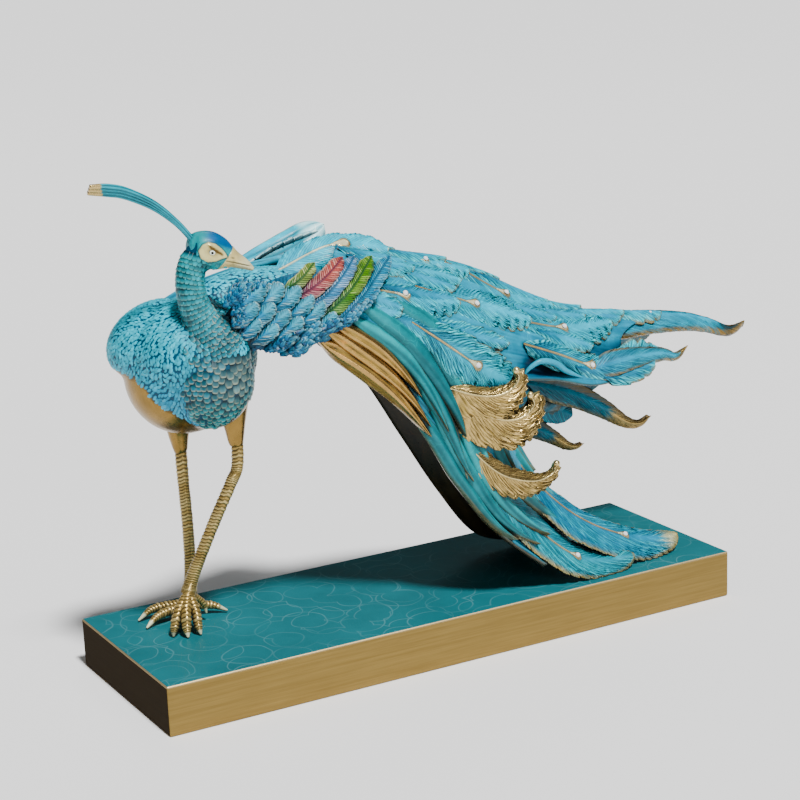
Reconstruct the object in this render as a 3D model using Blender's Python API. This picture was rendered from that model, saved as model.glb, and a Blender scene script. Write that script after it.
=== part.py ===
"""Peacock figurine: a cast and painted peacock that looks back over its train, on a rectangular plinth.

The pose is drawn in units: one unit is a 337th of the figure's height, which is 1 mm at the real size.
x runs along the plinth towards the train, y runs away from the front, z is up from the plinth's top.
"""

import math

import bmesh
import bpy
from mathutils import Vector
from mathutils.bvhtree import BVHTree

# Driving sizes, in metres
FIGURE_HEIGHT = 0.337
PLINTH_HEIGHT = 0.037
TOE_MARGIN = 0.030
TRAIN_MARGIN = 0.028
FRONT_MARGIN = 0.006
BACK_MARGIN = 0.023
PLINTH_EDGE_ROUND = 0.0015
GLUE_GAP = 0.0003
STONE_RADIUS = 0.0021
STONE_RISE = 0.0016
KEPT_FACETS = 8800
SEARCH_REACH = 40.0

# The figure's own drawing: its height in units, and the footprint that the plinth is sized from
DRAWN_HEIGHT = 337.0
TOE_X, TRAIN_X = -210.0, 212.0
FRONT_Y, BACK_Y = -74.0, 57.0
UNIT = FIGURE_HEIGHT / DRAWN_HEIGHT

TURQUOISE = (0.05, 0.42, 0.52, 1.0)
GOLD = (0.45, 0.33, 0.16, 1.0)
STONE_WHITE = (0.90, 0.90, 0.92, 1.0)


def clear_scene():
    for old in list(bpy.data.objects):
        bpy.data.objects.remove(old)


def material(name, colour, roughness, metallic):
    made = bpy.data.materials.new(name)
    made.use_nodes = True
    shader = made.node_tree.nodes["Principled BSDF"]
    shader.inputs["Base Color"].default_value = colour
    shader.inputs["Roughness"].default_value = roughness
    shader.inputs["Metallic"].default_value = metallic
    return made


# Curves and lofts

def along(points, t):
    """The point at share t of a smooth curve through the points, which may have any number of values."""
    spans = len(points) - 1
    x = min(max(t, 0.0), 1.0) * spans
    i = min(int(x), spans - 1)
    f = x - i
    p1, p2 = Vector(points[i]), Vector(points[i + 1])
    p0 = Vector(points[i - 1]) if i else 2 * p1 - p2
    p3 = Vector(points[i + 2]) if i + 2 <= spans else 2 * p2 - p1
    return (
        p1
        + (p2 - p0) * (f / 2)
        + (2 * p0 - 5 * p1 + 4 * p2 - p3) * (f * f / 2)
        + (3 * p1 - 3 * p2 + p3 - p0) * (f * f * f / 2)
    )


def shares(count):
    return [i / (count - 1) for i in range(count)]


def loft(name, rings):
    """A closed solid through rings of equally many points, capped at both ends and flat where it stands."""
    mesh = bpy.data.meshes.new(name)
    work = bmesh.new()
    rows = [[work.verts.new((p[0], p[1], max(p[2], 0.0))) for p in ring] for ring in rings]
    for row, following in zip(rows, rows[1:]):
        for j in range(len(row)):
            k = (j + 1) % len(row)
            work.faces.new((row[j], row[k], following[k], following[j]))
    work.faces.new(rows[0][::-1])
    work.faces.new(rows[-1])
    bmesh.ops.recalc_face_normals(work, faces=work.faces)
    bmesh.ops.triangulate(work, faces=work.faces)
    work.to_mesh(mesh)
    work.free()
    made = bpy.data.objects.new(name, mesh)
    bpy.context.scene.collection.objects.link(made)
    return made


def tube(name, path, count, sides, across=Vector((0.0, 1.0, 0.0)), bands=0.0):
    """A round limb: path holds (x, y, z, radius), and bands rib it like a bird's shin."""
    rings = []
    for i, t in enumerate(shares(count)):
        here = along(path, t)
        ahead = along(path, t + 0.01) - along(path, t - 0.01)
        forward = Vector(ahead[:3]).normalized()
        side = (across - forward * across.dot(forward)).normalized()
        up = forward.cross(side)
        radius = here[3] * (1.0 + (bands if i % 2 else -bands))
        centre = Vector(here[:3])
        turns = [2 * math.pi * j / sides for j in range(sides)]
        rings.append([centre + (side * math.cos(a) + up * math.sin(a)) * radius for a in turns])
    return loft(name, rings)


def egg(name, centre, radii, forward, rings=7, sides=14):
    """An egg-shaped mass: radii run along forward, across it and up."""
    forward = Vector(forward).normalized()
    side = forward.cross(Vector((0.0, 0.0, 1.0))).normalized()
    up = side.cross(forward)
    made = []
    for i in range(rings):
        a = math.pi * (i + 0.5) / rings
        turns = [2 * math.pi * j / sides for j in range(sides)]
        hub = Vector(centre) - forward * radii[0] * math.cos(a) / math.cos(math.pi / 2 / rings)
        made.append(
            [
                hub + (side * radii[1] * math.cos(b) + up * radii[2] * math.sin(b)) * math.sin(a)
                for b in turns
            ]
        )
    return loft(name, made)


# Feathers

def rounded_tip(t):
    """Half-width of a broad feather along its length: slim root, full vane, round tip."""
    vane = 0.45 + 0.55 * min(t / 0.45, 1.0)
    return vane * math.sqrt(max(1.0 - (max(t - 0.62, 0.0) / 0.40) ** 2, 0.0))


def pointed_tip(t):
    """Half-width of a long wisp that runs out to a point."""
    return max((1.0 - t) ** 0.6, 0.09)


def strand(t):
    """Half-width of a long strand, even along most of its length."""
    return min(1.0, 0.4 + 3.0 * t) * min(1.0, 0.18 + 2.6 * (1.0 - t))


def blade(name, centres, normals, halves, thick, camber=0.12):
    """A feather: a thin leaf with a raised shaft. halves holds (near, far) half-widths at each centre."""
    rings = []
    count = len(centres)
    for i in range(count):
        ahead = centres[min(i + 1, count - 1)] - centres[max(i - 1, 0)]
        forward = ahead.normalized()
        normal = (normals[i] - forward * normals[i].dot(forward)).normalized()
        side = forward.cross(normal)
        near, far = halves[i]
        drop = normal * camber * max(near, far)
        here = centres[i]
        top, bottom = here + normal * thick * 0.6, here - normal * thick * 0.6
        rings.append([here - side * near - drop, top, here + side * far - drop, bottom])
    return loft(name, rings)


def free_feather(name, spine, normal, width, thick, count, profile, lean=0.5):
    """A feather that stands free, along a spine of its own. lean shares the width between its two vanes."""
    centres = [along(spine, t) for t in shares(count)]
    halves = [
        (max(width * profile(t) * 2 * lean, 0.5), max(width * profile(t) * 2 * (1 - lean), 0.5))
        for t in shares(count)
    ]
    return blade(name, centres, [Vector(normal)] * count, halves, thick)


# The train's two sheets: ribs from the near edge over the ridge to the far edge, rump first
UPPER_RIBS = (
    ((-85, -36, 232), (-72, -24, 258), (-52, 5, 270), (-50, 32, 255), (-58, 40, 225)),
    ((-40, -50, 204), (-20, -38, 236), (-2, 0, 257), (0, 32, 240), (-15, 44, 200)),
    ((19, -58, 170), (40, -42, 206), (57, -2, 237), (62, 34, 212), (50, 46, 165)),
    ((90, -57, 158), (108, -44, 180), (121, -6, 203), (128, 26, 178), (130, 40, 96)),
    ((138, -54, 146), (150, -43, 166), (166, -10, 191), (175, 20, 160), (172, 34, 110)),
    ((190, -51, 154), (200, -42, 164), (222, -16, 182), (222, 4, 160), (205, 24, 135)),
)
LOWER_RIBS = (
    ((-92, -38, 212), (-80, -46, 228), (-45, -30, 243), (-35, 20, 232), (-56, 35, 191)),
    ((-46, -50, 174), (-28, -52, 198), (12, -38, 214), (22, 10, 200), (-21, 37, 162)),
    ((-14, -56, 135), (6, -58, 158), (44, -38, 180), (54, 5, 160), (13, 38, 109)),
    ((8, -62, 95), (26, -60, 112), (62, -33, 125), (72, 5, 105), (44, 38, 60)),
    ((33, -68, 54), (52, -60, 68), (84, -33, 79), (96, 5, 58), (77, 36, 18)),
    ((74, -70, 19), (96, -54, 26), (128, -25, 30), (140, 8, 20), (118, 34, 4)),
)


def on_sheet(ribs, s, t, lift=0.0):
    """The point of a sheet at share s of its length and t of its girth, lifted off its outer face."""
    point = along([along([rib[j] for rib in ribs], s) for j in range(5)], t)
    return point + sheet_normal(ribs, s, t) * lift if lift else point


def sheet_normal(ribs, s, t):
    step = 0.02
    s = min(max(s, step), 1 - step)
    t = min(max(t, step), 1 - step)
    down = on_sheet(ribs, s + step, t) - on_sheet(ribs, s - step, t)
    over = on_sheet(ribs, s, t + step) - on_sheet(ribs, s, t - step)
    return over.cross(down).normalized()


def sheet(name, ribs, thick, stations, girth):
    rings = []
    for s in shares(stations):
        outer = [on_sheet(ribs, s, t) for t in shares(girth)]
        inner = [on_sheet(ribs, s, t, -thick) for t in shares(girth)]
        rings.append(outer + inner[::-1])
    return loft(name, rings)


def sheet_feather(name, ribs, root, tip, width, lift=2.0, thick=2.2, count=7, profile=rounded_tip):
    """A feather laid on a sheet from root to tip, both (s, t), with its tip a little lifted."""
    places = [
        (root[0] + (tip[0] - root[0]) * f, root[1] + (tip[1] - root[1]) * f) for f in shares(count)
    ]
    centres = [
        on_sheet(ribs, s, t, lift * (0.15 + 0.85 * f)) for f, (s, t) in zip(shares(count), places)
    ]
    normals = [sheet_normal(ribs, s, t) for s, t in places]
    halves = [(max(width * profile(f), 0.6),) * 2 for f in shares(count)]
    return blade(name, centres, normals, halves, thick)


# The bird

def body():
    facing = (-0.66, -0.75, 0.0)
    return [
        egg("belly", (-174, 11, 192), (46, 42, 44), facing, rings=9, sides=18),
        egg("mantle", (-169, 4, 204), (47, 44.5, 42), facing, rings=9, sides=18),
        egg("breast", (-166, -15, 191), (33, 31, 36), facing, rings=8, sides=16),
        egg("far_shoulder", (-191, 22, 216), (35, 32, 25), (-0.85, 0.10, -0.45), rings=8, sides=14),
        tube(
            "back",
            (
                (-180, 12, 214, 26),
                (-130, 16, 235, 27),
                (-90, 8, 242, 24),
                (-50, 2, 241, 22),
                (-10, 0, 230, 14),
            ),
            count=7,
            sides=12,
        ),
    ]


def neck_and_head():
    return [
        tube(
            "neck",
            (
                (-161, -25, 198, 20),
                (-160, -29, 214, 17),
                (-170, -29, 228, 12.5),
                (-178, -27, 244, 10.4),
                (-181, -27, 258, 9.7),
                (-180, -27, 270, 9.6),
                (-175, -27, 280, 9.6),
            ),
            count=12,
            sides=12,
            across=Vector((0.87, -0.5, 0.0)),
        ),
        tube(
            "head",
            (
                (-180, -27, 288, 4.5),
                (-176, -27, 287, 10.0),
                (-168, -29, 284, 12.6),
                (-160, -31, 280.5, 11.2),
                (-154, -33, 277.5, 7.6),
                (-150, -34, 275.5, 5.2),
                (-144, -36, 272, 3.3),
                (-138.5, -38, 268, 0.8),
            ),
            count=12,
            sides=12,
        ),
    ]


def crest():
    """Three plumes side by side, joined at the crown."""
    made = []
    for i, spread in enumerate((-1.0, 0.0, 1.0)):
        path = [
            (-176, -27, 290, 2.2),
            (-188, -26.5 + spread * 0.6, 304.5 - spread * 0.8, 1.9),
            (-204, -27 + spread * 1.4, 317.5 - spread * 1.7, 2.2),
            (-223, -28 + spread * 2.0, 328.0 - spread * 2.3, 2.7),
            (-236, -28 + spread * 2.2, 332.0 - spread * 2.5, 2.9),
            (-249, -28 + spread * 2.2, 333.0 - spread * 2.2, 1.6),
        ]
        made.append(tube(f"plume_{i}", path, count=9, sides=7))
    return made


def legs():
    """Two banded shins under feathered thighs, one crossed before the other, and their toes."""
    near_shin = ((-141, 0, 148, 4.6), (-142, 0, 120, 4.2), (-147, 2, 107, 4.2), (-158, 7, 82, 4.2),
                 (-168, 11.5, 58, 4.3), (-176, 15, 38, 4.6), (-180, 16, 26, 5.6))
    far_shin = ((-171, 34, 140, 4.6), (-170, 35, 105, 4.2), (-169, 35, 75, 4.1), (-168.5, 36, 45, 4.2),
                (-169, 37, 25, 4.6), (-170, 37, 10, 5.4))
    made = [
        tube("near_thigh", ((-144, -4, 185, 15), (-142.5, 0, 158, 9.5), (-142, 0, 134, 5.2)), 5, 10),
        tube("far_thigh", ((-172, 26, 170, 16), (-172, 33, 146, 9), (-170.5, 34.5, 126, 5)), 5, 10),
        tube("near_shin", near_shin, 21, 7, bands=0.04),
        tube("far_shin", far_shin, 21, 7, bands=0.04),
    ]
    near_ankle, far_ankle = (-180, 16, 25), (-170, 37, 9)
    toes = (
        (near_ankle, (-191, 9, 17), (-197, 5, 6), (-199, 3, 0.5), 3.6),
        (near_ankle, (-187, 5, 17), (-190, -1, 6), (-191, -5, 0.5), 3.8),
        (near_ankle, (-180, 5, 16), (-181, -1, 6), (-181, -5, 0.5), 3.6),
        (near_ankle, (-173, 19, 20), (-167, 20, 14), (-165, 20, 6), 2.6),
        (far_ankle, (-182, 43, 9), (-196, 48, 7), (-208, 47, 1), 3.4),
        (far_ankle, (-184, 36, 8), (-198, 34, 6), (-209, 29, 1), 3.4),
        (far_ankle, (-180, 27, 8), (-189, 18, 6), (-196, 12, 1), 3.3),
        (far_ankle, (-162, 35, 7), (-154, 32, 6), (-145, 27, 1.5), 3.2),
    )
    for i, (root, knuckle, joint, claw, radius) in enumerate(toes):
        path = [(*root, radius * 1.1), (*knuckle, radius), (*joint, radius * 0.85), (*claw, 0.8)]
        made.append(tube(f"toe_{i}", path, 7, 7))
    return made


# The near wing lies on the back like a closed fan: long quills outside, shorter rows inside
OUTER_QUILL = ((-122, -42, 220), (-102, -50, 215), (-80, -52, 223), (-50, -44, 237), (-25, -24, 259))
INNER_QUILL = ((-118, -48, 250), (-110, -50, 254), (-101, -45, 262), (-96, -40, 266), (-88, -30, 268))
# Each shorter row: the roots and the tips of its first and last feathers, and their half-width
WING_ROWS = (
    ("covert", ((-142, -43, 238), (-104, -45, 215)), ((-118, -47, 256), (-78, -49, 228)), 8.2),
    ("scale", ((-152, -38, 232), (-126, -43, 212)), ((-134, -46, 246), (-100, -49, 221)), 7.6),
)


def quill(share):
    """The spine of a wing quill, from the outermost at 0 to the innermost at 1."""
    return [Vector(a).lerp(Vector(b), share) for a, b in zip(OUTER_QUILL, INNER_QUILL)]


def row_feather(name, share, roots, tips, width):
    """One feather of a row across the wing, humped outward between its root and its tip."""
    outward = Vector((-0.25, -0.88, 0.35))
    root = Vector(roots[0]).lerp(Vector(roots[1]), share)
    tip = Vector(tips[0]).lerp(Vector(tips[1]), share)
    middle = root.lerp(tip, 0.5) + outward * 2.5
    return free_feather(name, (root, middle, tip), outward, width, 4.4, 6, rounded_tip)


def near_wing():
    outward = Vector((-0.25, -0.88, 0.35))
    made = [
        free_feather(
            "wing_core",
            ((-158, -26, 230), (-130, -34, 232), (-100, -38, 236), (-70, -33, 242), (-38, -18, 254)),
            outward, 27, 20, 8, lambda t: math.sin(math.pi * (0.16 + 0.76 * t)),
        )
    ]
    for i, share in enumerate((0.0, 0.25, 0.5, 0.75, 1.0)):
        half = 7.8 - 2.0 * share
        made.append(free_feather(f"quill_{i}", quill(share), outward, half, 4.0, 8, rounded_tip))
    for row, roots, tips, half in WING_ROWS:
        for i, share in enumerate(shares(5)):
            made.append(row_feather(f"{row}_{i}", share, roots, tips, half))
    return made


def far_wing():
    outward = Vector((-0.1, 0.75, 0.6))
    made = [
        free_feather(
            "far_wing_core",
            ((-200, 30, 222), (-160, 38, 234), (-115, 42, 243), (-78, 42, 250), (-48, 42, 260)),
            outward, 24, 18, 8, lambda t: math.sin(math.pi * (0.2 + 0.70 * t)),
        )
    ]
    for i, share in enumerate(shares(5)):
        spine = [
            Vector(a).lerp(Vector(b), share)
            for a, b in (
                ((-135, 38, 243), (-140, 52, 218)),
                ((-106, 44, 253), (-104, 56, 222)),
                ((-80, 47, 263), (-66, 54, 230)),
                ((-44, 46, 273), (-26, 44, 246)),
            )
        ]
        made.append(free_feather(f"far_quill_{i}", spine, outward, 8.0, 5.0, 7, rounded_tip))
    return made


# Feathers of the train, each as the (s, t) of its root and of its tip, and its half-width
UPPER_FEATHERS = (
    ((0.64, 0.22), (0.94, 0.20), 13),
    ((0.48, 0.30), (0.84, 0.41), 14),
    ((0.36, 0.50), (0.61, 0.49), 14),
    ((0.26, 0.32), (0.50, 0.34), 14),
    ((0.12, 0.52), (0.38, 0.47), 14),
    ((0.10, 0.22), (0.34, 0.27), 14),
)
FAR_FEATHERS = (
    ((0.40, 0.78), (0.68, 0.80), 15),
    ((0.22, 0.76), (0.48, 0.74), 15),
    ((0.06, 0.76), (0.30, 0.74), 15),
)


def train():
    made = [
        sheet("upper_sheet", UPPER_RIBS, 3.4, 9, 9),
        sheet("lower_sheet", LOWER_RIBS, 3.4, 9, 9),
    ]
    for i, (root, tip, width) in enumerate(UPPER_FEATHERS + FAR_FEATHERS):
        made.append(
            sheet_feather(f"train_{i}", UPPER_RIBS, root, tip, width, lift=2.6, thick=3.0, count=6)
        )
    for i, share in enumerate(shares(5)):
        root, tip = (0.04, 0.06 + 0.36 * share), (0.86 - 0.16 * share, 0.05 + 0.33 * share)
        made.append(
            sheet_feather(f"strand_{i}", LOWER_RIBS, root, tip, 6.5, 1.5, thick=3.4, count=8, profile=strand)
        )
    return made


def train_tips():
    """The four wisps that the train's end runs out to, and the two lobes that lie on the plinth."""
    front = Vector((-0.3, -0.85, 0.4))
    back = Vector((0.1, 0.9, 0.3))
    return [
        free_feather(
            "ridge_wisp",
            (
                (150, -12, 190),
                (190, -14, 185),
                (240, -19, 178),
                (262, -22, 172),
                (282, -25, 164),
                (298, -26, 167),
            ),
            (-0.1, -0.6, 0.75), 19, 4, 9, pointed_tip, lean=0.32,
        ),
        free_feather(
            "near_wisp",
            ((135, -51, 159), (170, -52, 163), (197, -51, 161), (212, -50, 157), (223, -50, 163)),
            front, 13, 4, 8, pointed_tip,
        ),
        free_feather(
            "far_wisp",
            (
                (140, 34, 125),
                (173, 32, 115),
                (196, 30, 102),
                (220, 30, 86),
                (234, 30, 82),
                (245, 30, 86),
            ),
            back, 14, 4, 8, pointed_tip,
        ),
        free_feather(
            "low_far_wisp",
            ((110, 40, 104), (138, 38, 92), (153, 37, 83), (166, 36, 74), (175, 36, 71), (182, 36, 72)),
            back, 12, 4, 8, pointed_tip,
        ),
        free_feather(
            "near_lobe",
            (
                (10, -60, 116),
                (30, -60, 94),
                (56, -60, 64),
                (82, -59, 38),
                (111, -59, 17),
                (138, -61, 9),
                (160, -63, 9),
            ),
            (-0.15, -0.60, 0.8), 18, 4.4, 9, rounded_tip,
        ),
        free_feather(
            "far_lobe",
            (
                (58, -34, 112),
                (85, -35, 76),
                (111, -36, 50),
                (138, -38, 32),
                (170, -41, 17),
                (193, -44, 11),
                (214, -47, 11),
            ),
            (-0.1, -0.35, 0.95), 19, 4.4, 9, rounded_tip,
        ),
        free_feather(
            "side_feather",
            ((-22, -48, 218), (14, -58, 192), (42, -60, 170), (66, -60, 152)),
            front, 14, 4, 7, rounded_tip,
        ),
    ]


def gold_curls():
    """Three plumes like acanthus leaves, whose tips curl back over."""
    front = Vector((-0.35, -0.9, 0.2))
    return [
        free_feather(
            "curl_0",
            ((4, -60, 166), (21, -66, 157), (33, -70, 154), (47, -72, 156), (54, -73, 164), (50, -73, 172)),
            front, 8.5, 5.0, 9, strand, lean=0.32,
        ),
        free_feather(
            "curl_1",
            ((10, -60, 150), (26, -67, 134), (43, -71, 128), (58, -74, 133), (67, -75, 144), (63, -75, 153)),
            front, 11.0, 5.0, 9, strand, lean=0.38,
        ),
        free_feather(
            "curl_2",
            ((16, -60, 122), (29, -68, 102), (44, -71, 89), (65, -72, 84), (80, -72, 88), (85, -72, 95)),
            front, 8.5, 5.0, 9, strand, lean=0.42,
        ),
    ]


def covert_over_the_rump():
    return [
        free_feather(
            "rump_covert",
            ((-92, 6, 260), (-62, 3, 268), (-36, 0, 266), (-14, -4, 261)),
            (-0.1, -0.5, 0.85), 14, 5, 6, rounded_tip,
        )
    ]


def shell_of(face):
    """Every face joined to this one by shared edges."""
    found = {face}
    waiting = [face]
    while waiting:
        for edge in waiting.pop().edges:
            for other in edge.link_faces:
                if other not in found:
                    found.add(other)
                    waiting.append(other)
    return found


def fill_voids(mesh):
    """Leaves only the outer skin, so that the voids between overlapping feathers are solid."""
    work = bmesh.new()
    work.from_mesh(mesh)
    left = set(work.faces)
    shells = []
    while left:
        shell = shell_of(next(iter(left)))
        shells.append(shell)
        left -= shell
    skin = max(shells, key=len)
    for shell in shells:
        if shell is not skin:
            bmesh.ops.delete(work, geom=list(shell), context="FACES")
    work.to_mesh(mesh)
    work.free()


def united(name, pieces):
    """One solid from overlapping ones, with its smallest facets merged."""
    helpers = bpy.data.collections.new("helpers")
    bpy.context.scene.collection.children.link(helpers)
    first, rest = pieces[0], pieces[1:]
    for piece in rest:
        bpy.context.scene.collection.objects.unlink(piece)
        helpers.objects.link(piece)
    join = first.modifiers.new("join", "BOOLEAN")
    join.operation = "UNION"
    join.solver = "MANIFOLD"
    join.operand_type = "COLLECTION"
    join.collection = helpers
    graph = bpy.context.evaluated_depsgraph_get()
    mesh = bpy.data.meshes.new_from_object(first.evaluated_get(graph))
    for piece in pieces:
        bpy.data.objects.remove(piece)
    bpy.data.collections.remove(helpers)
    fill_voids(mesh)
    made = bpy.data.objects.new(name, mesh)
    bpy.context.scene.collection.objects.link(made)
    merge = made.modifiers.new("merge_small_facets", "DECIMATE")
    merge.ratio = KEPT_FACETS / sum(len(face.vertices) - 2 for face in mesh.polygons)
    merge.use_collapse_triangulate = True
    return made


def peacock():
    pieces = [
        *body(), *neck_and_head(), *crest(), *legs(), *near_wing(), *far_wing(),
        *train(), *train_tips(), *gold_curls(), *covert_over_the_rump(),
    ]
    made = united("peacock", pieces)
    made.scale = (UNIT, UNIT, UNIT)
    made.location = (0.0, 0.0, PLINTH_HEIGHT + GLUE_GAP)
    made.data.materials.append(material("peacock_paint", TURQUOISE, 0.35, 0.3))
    return made


def stone(name, base, out):
    """A round stone with a low dome, its flat back at base and its crown along out."""
    side = out.orthogonal().normalized()
    up = out.cross(side)
    turns = [2 * math.pi * j / 8 for j in range(8)]
    profile = ((1.0, 0.0), (0.86, 0.55), (0.40, 1.0))
    rings = [
        [
            base
            + (side * math.cos(a) + up * math.sin(a)) * STONE_RADIUS * radius
            + out * STONE_RISE * rise
            for a in turns
        ]
        for radius, rise in profile
    ]
    made = loft(name, rings)
    made.data.materials.append(material(name, STONE_WHITE, 0.08, 0.0))
    return made


# Where stones are set: a place in the drawing, and the side that it is seen from
FRONT_SIDE = (-0.47, -0.84, 0.26)
BACK_SIDE = (0.05, 0.80, 0.60)
STONE_PLACES = (
    ((13, -12, 253), FRONT_SIDE),
    ((-21, -40, 236), FRONT_SIDE),
    ((40, -38, 220), FRONT_SIDE),
    ((76, -22, 221), FRONT_SIDE),
    ((25, -62, 180), FRONT_SIDE),
    ((117, -38, 192), FRONT_SIDE),
    ((132, -52, 162), FRONT_SIDE),
    ((210, -20, 186), FRONT_SIDE),
    ((151, 34, 112), FRONT_SIDE),
    ((111, -58, 17), FRONT_SIDE),
    ((168, -41, 18), FRONT_SIDE),
    ((10, 36, 228), BACK_SIDE),
    ((62, 36, 200), BACK_SIDE),
    ((118, 34, 168), BACK_SIDE),
)


def stones(figure):
    """One stone on each eye of the train, a glue gap off the surface below it."""
    graph = bpy.context.evaluated_depsgraph_get()
    mesh = figure.evaluated_get(graph).to_mesh()
    place = figure.matrix_basis
    surface = BVHTree.FromPolygons(
        [place @ corner.co for corner in mesh.vertices], [tuple(face.vertices) for face in mesh.polygons]
    )
    reach = SEARCH_REACH * UNIT
    for i, (spot, side) in enumerate(STONE_PLACES):
        towards = Vector(side).normalized()
        start = place @ Vector(spot) + towards * reach
        hit, out, _, _ = surface.ray_cast(start, -towards)
        stone(f"eye_stone_{i + 1}", hit + out * GLUE_GAP, out)


def plinth():
    low = Vector((TOE_X * UNIT - TOE_MARGIN, FRONT_Y * UNIT - FRONT_MARGIN, 0.0))
    high = Vector((TRAIN_X * UNIT + TRAIN_MARGIN, BACK_Y * UNIT + BACK_MARGIN, PLINTH_HEIGHT))
    mesh = bpy.data.meshes.new("plinth")
    work = bmesh.new()
    bmesh.ops.create_cube(work, size=1.0)
    for corner in work.verts:
        for axis in range(3):
            corner.co[axis] = high[axis] if corner.co[axis] > 0 else low[axis]
    work.to_mesh(mesh)
    work.free()
    made = bpy.data.objects.new("plinth", mesh)
    bpy.context.scene.collection.objects.link(made)
    rounding = made.modifiers.new("edge_round", "BEVEL")
    rounding.width = PLINTH_EDGE_ROUND
    rounding.segments = 3
    made.data.materials.append(material("plinth_paint", GOLD, 0.4, 0.8))
    return made


def main():
    clear_scene()
    plinth()
    stones(peacock())


main()
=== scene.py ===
"""The peacock figurine's painted surface: carved feathers, scales, gilding and lacquer.

Lengths are in millimetres, with z up from the plinth's top, until a piece is made.
Every carved piece carries a "paint" attribute: its colour, and in its alpha how much of it is gilded.
"""

import math

import bpy
import numpy as np
from mathutils import Matrix, Vector
from mathutils.bvhtree import BVHTree


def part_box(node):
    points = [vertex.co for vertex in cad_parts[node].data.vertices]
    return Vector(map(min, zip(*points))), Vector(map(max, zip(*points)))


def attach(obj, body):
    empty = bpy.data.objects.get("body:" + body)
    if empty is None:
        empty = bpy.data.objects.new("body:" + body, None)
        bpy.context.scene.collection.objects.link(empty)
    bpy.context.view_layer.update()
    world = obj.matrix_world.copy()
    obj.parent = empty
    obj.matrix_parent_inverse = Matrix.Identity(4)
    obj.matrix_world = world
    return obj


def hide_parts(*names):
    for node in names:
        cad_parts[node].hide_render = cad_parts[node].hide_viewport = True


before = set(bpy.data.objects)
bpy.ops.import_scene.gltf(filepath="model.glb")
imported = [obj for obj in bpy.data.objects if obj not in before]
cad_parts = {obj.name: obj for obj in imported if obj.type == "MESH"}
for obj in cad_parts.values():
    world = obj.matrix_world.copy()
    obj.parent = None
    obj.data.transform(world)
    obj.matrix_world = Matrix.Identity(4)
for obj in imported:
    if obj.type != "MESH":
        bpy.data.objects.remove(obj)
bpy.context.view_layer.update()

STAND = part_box("peacock")[0][2]
MM = 0.001

# How far every piece stays above the plinth, how far a gold drop lies under its stone's middle,
# and how near a plain feather comes to a stone

LEAST_HEIGHT = 0.02
STONE_SEAT = 1.2
STONE_CLEARANCE = 8.0

# Rows and columns of the train's sheets

SHEET_ROWS, SHEET_COLUMNS = 90, 110

RANDOM = np.random.default_rng(7)


# Colours, as sRGB hex written 0xRRGGBB

def rgb(code):
    """Linear colour of an sRGB hex code."""
    parts = np.array([(code >> 16) & 255, (code >> 8) & 255, code & 255]) / 255.0
    return np.where(parts <= 0.04045, parts / 12.92, ((parts + 0.055) / 1.055) ** 2.4)


TURQUOISE = rgb(0x0797B4)
TURQUOISE_PALE = rgb(0x5CCBDD)
TURQUOISE_DEEP = rgb(0x035E80)
WHITE_BLUE = rgb(0xD3ECF4)
CREAM = rgb(0xE9DDC2)
GOLD = rgb(0xB99A63)
GOLD_DARK = rgb(0x5A431F)
BRONZE = rgb(0x8E7141)
UMBER = rgb(0x1C140C)


# Curves

def cubic(four, f, past):
    """The curve between the middle two of four knots, f of the way, and straight on for past."""
    p0, p1, p2, p3 = four
    second = 2 * p0 - 5 * p1 + 4 * p2 - p3
    third = 3 * p1 - 3 * p2 + p3 - p0
    value = p1 + (p2 - p0) * f / 2 + second * f**2 / 2 + third * f**3 / 2
    slope = (p2 - p0) / 2 + second * f + 1.5 * third * f**2
    return value + slope * past


def spline(points, t):
    """Points of a smooth curve through points[..., k, :], which runs on straight past its ends."""
    knots = np.asarray(points, float)
    knots = np.concatenate([[2 * knots[0] - knots[1]], knots, [2 * knots[-1] - knots[-2]]])
    spans = len(knots) - 3
    x = np.asarray(t, float) * spans
    inside = np.clip(x, 0, spans)
    i = np.minimum(inside.astype(int), spans - 1)
    f = (inside - i)[..., None]
    return cubic([knots[i + k] for k in range(4)], f, (x - inside)[..., None])


def across_rows(rows, t):
    """The same curve where each place has control points of its own: rows[..., 5, 3] at t[...]."""
    first, last = rows[..., :1, :], rows[..., -1:, :]
    knots = np.concatenate([2 * first - rows[..., 1:2, :], rows, 2 * last - rows[..., -2:-1, :]], axis=-2)
    spans = rows.shape[-2] - 1
    x = np.asarray(t, float) * spans
    inside = np.clip(x, 0, spans)
    i = np.minimum(inside.astype(int), spans - 1)
    f = (inside - i)[..., None]
    four = [np.take_along_axis(knots, (i + k)[..., None, None], axis=-2)[..., 0, :] for k in range(4)]
    return cubic(four, f, (x - inside)[..., None])


def walk(points):
    """How far each of a row of points lies from the first, along the row."""
    return np.concatenate([[0], np.cumsum(np.linalg.norm(np.diff(points, axis=0), axis=1))])


def unit(vectors):
    """Vectors of length 1."""
    return vectors / np.maximum(np.linalg.norm(vectors, axis=-1, keepdims=True), 1e-9)


def smooth(low, high, x):
    """0 below low, 1 above high, and smooth between."""
    f = np.clip((np.asarray(x, float) - low) / (high - low), 0, 1)
    return f * f * (3 - 2 * f)


def mix(a, b, share):
    """Share of the way from a to b, for colours and vectors."""
    share = np.asarray(share, float)[..., None]
    return np.asarray(a) * (1 - share) + np.asarray(b) * share


def hashed(a, b=0.0):
    """A repeatable number from 0 to 1 for each value."""
    return np.modf(np.abs(np.sin(np.asarray(a) * 12.9898 + np.asarray(b) * 78.233) * 43758.5453))[0]


# Collecting surface

def placed(name, data):
    """A new object in the scene."""
    made = bpy.data.objects.new(name, data)
    bpy.context.scene.collection.objects.link(made)
    return made


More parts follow.
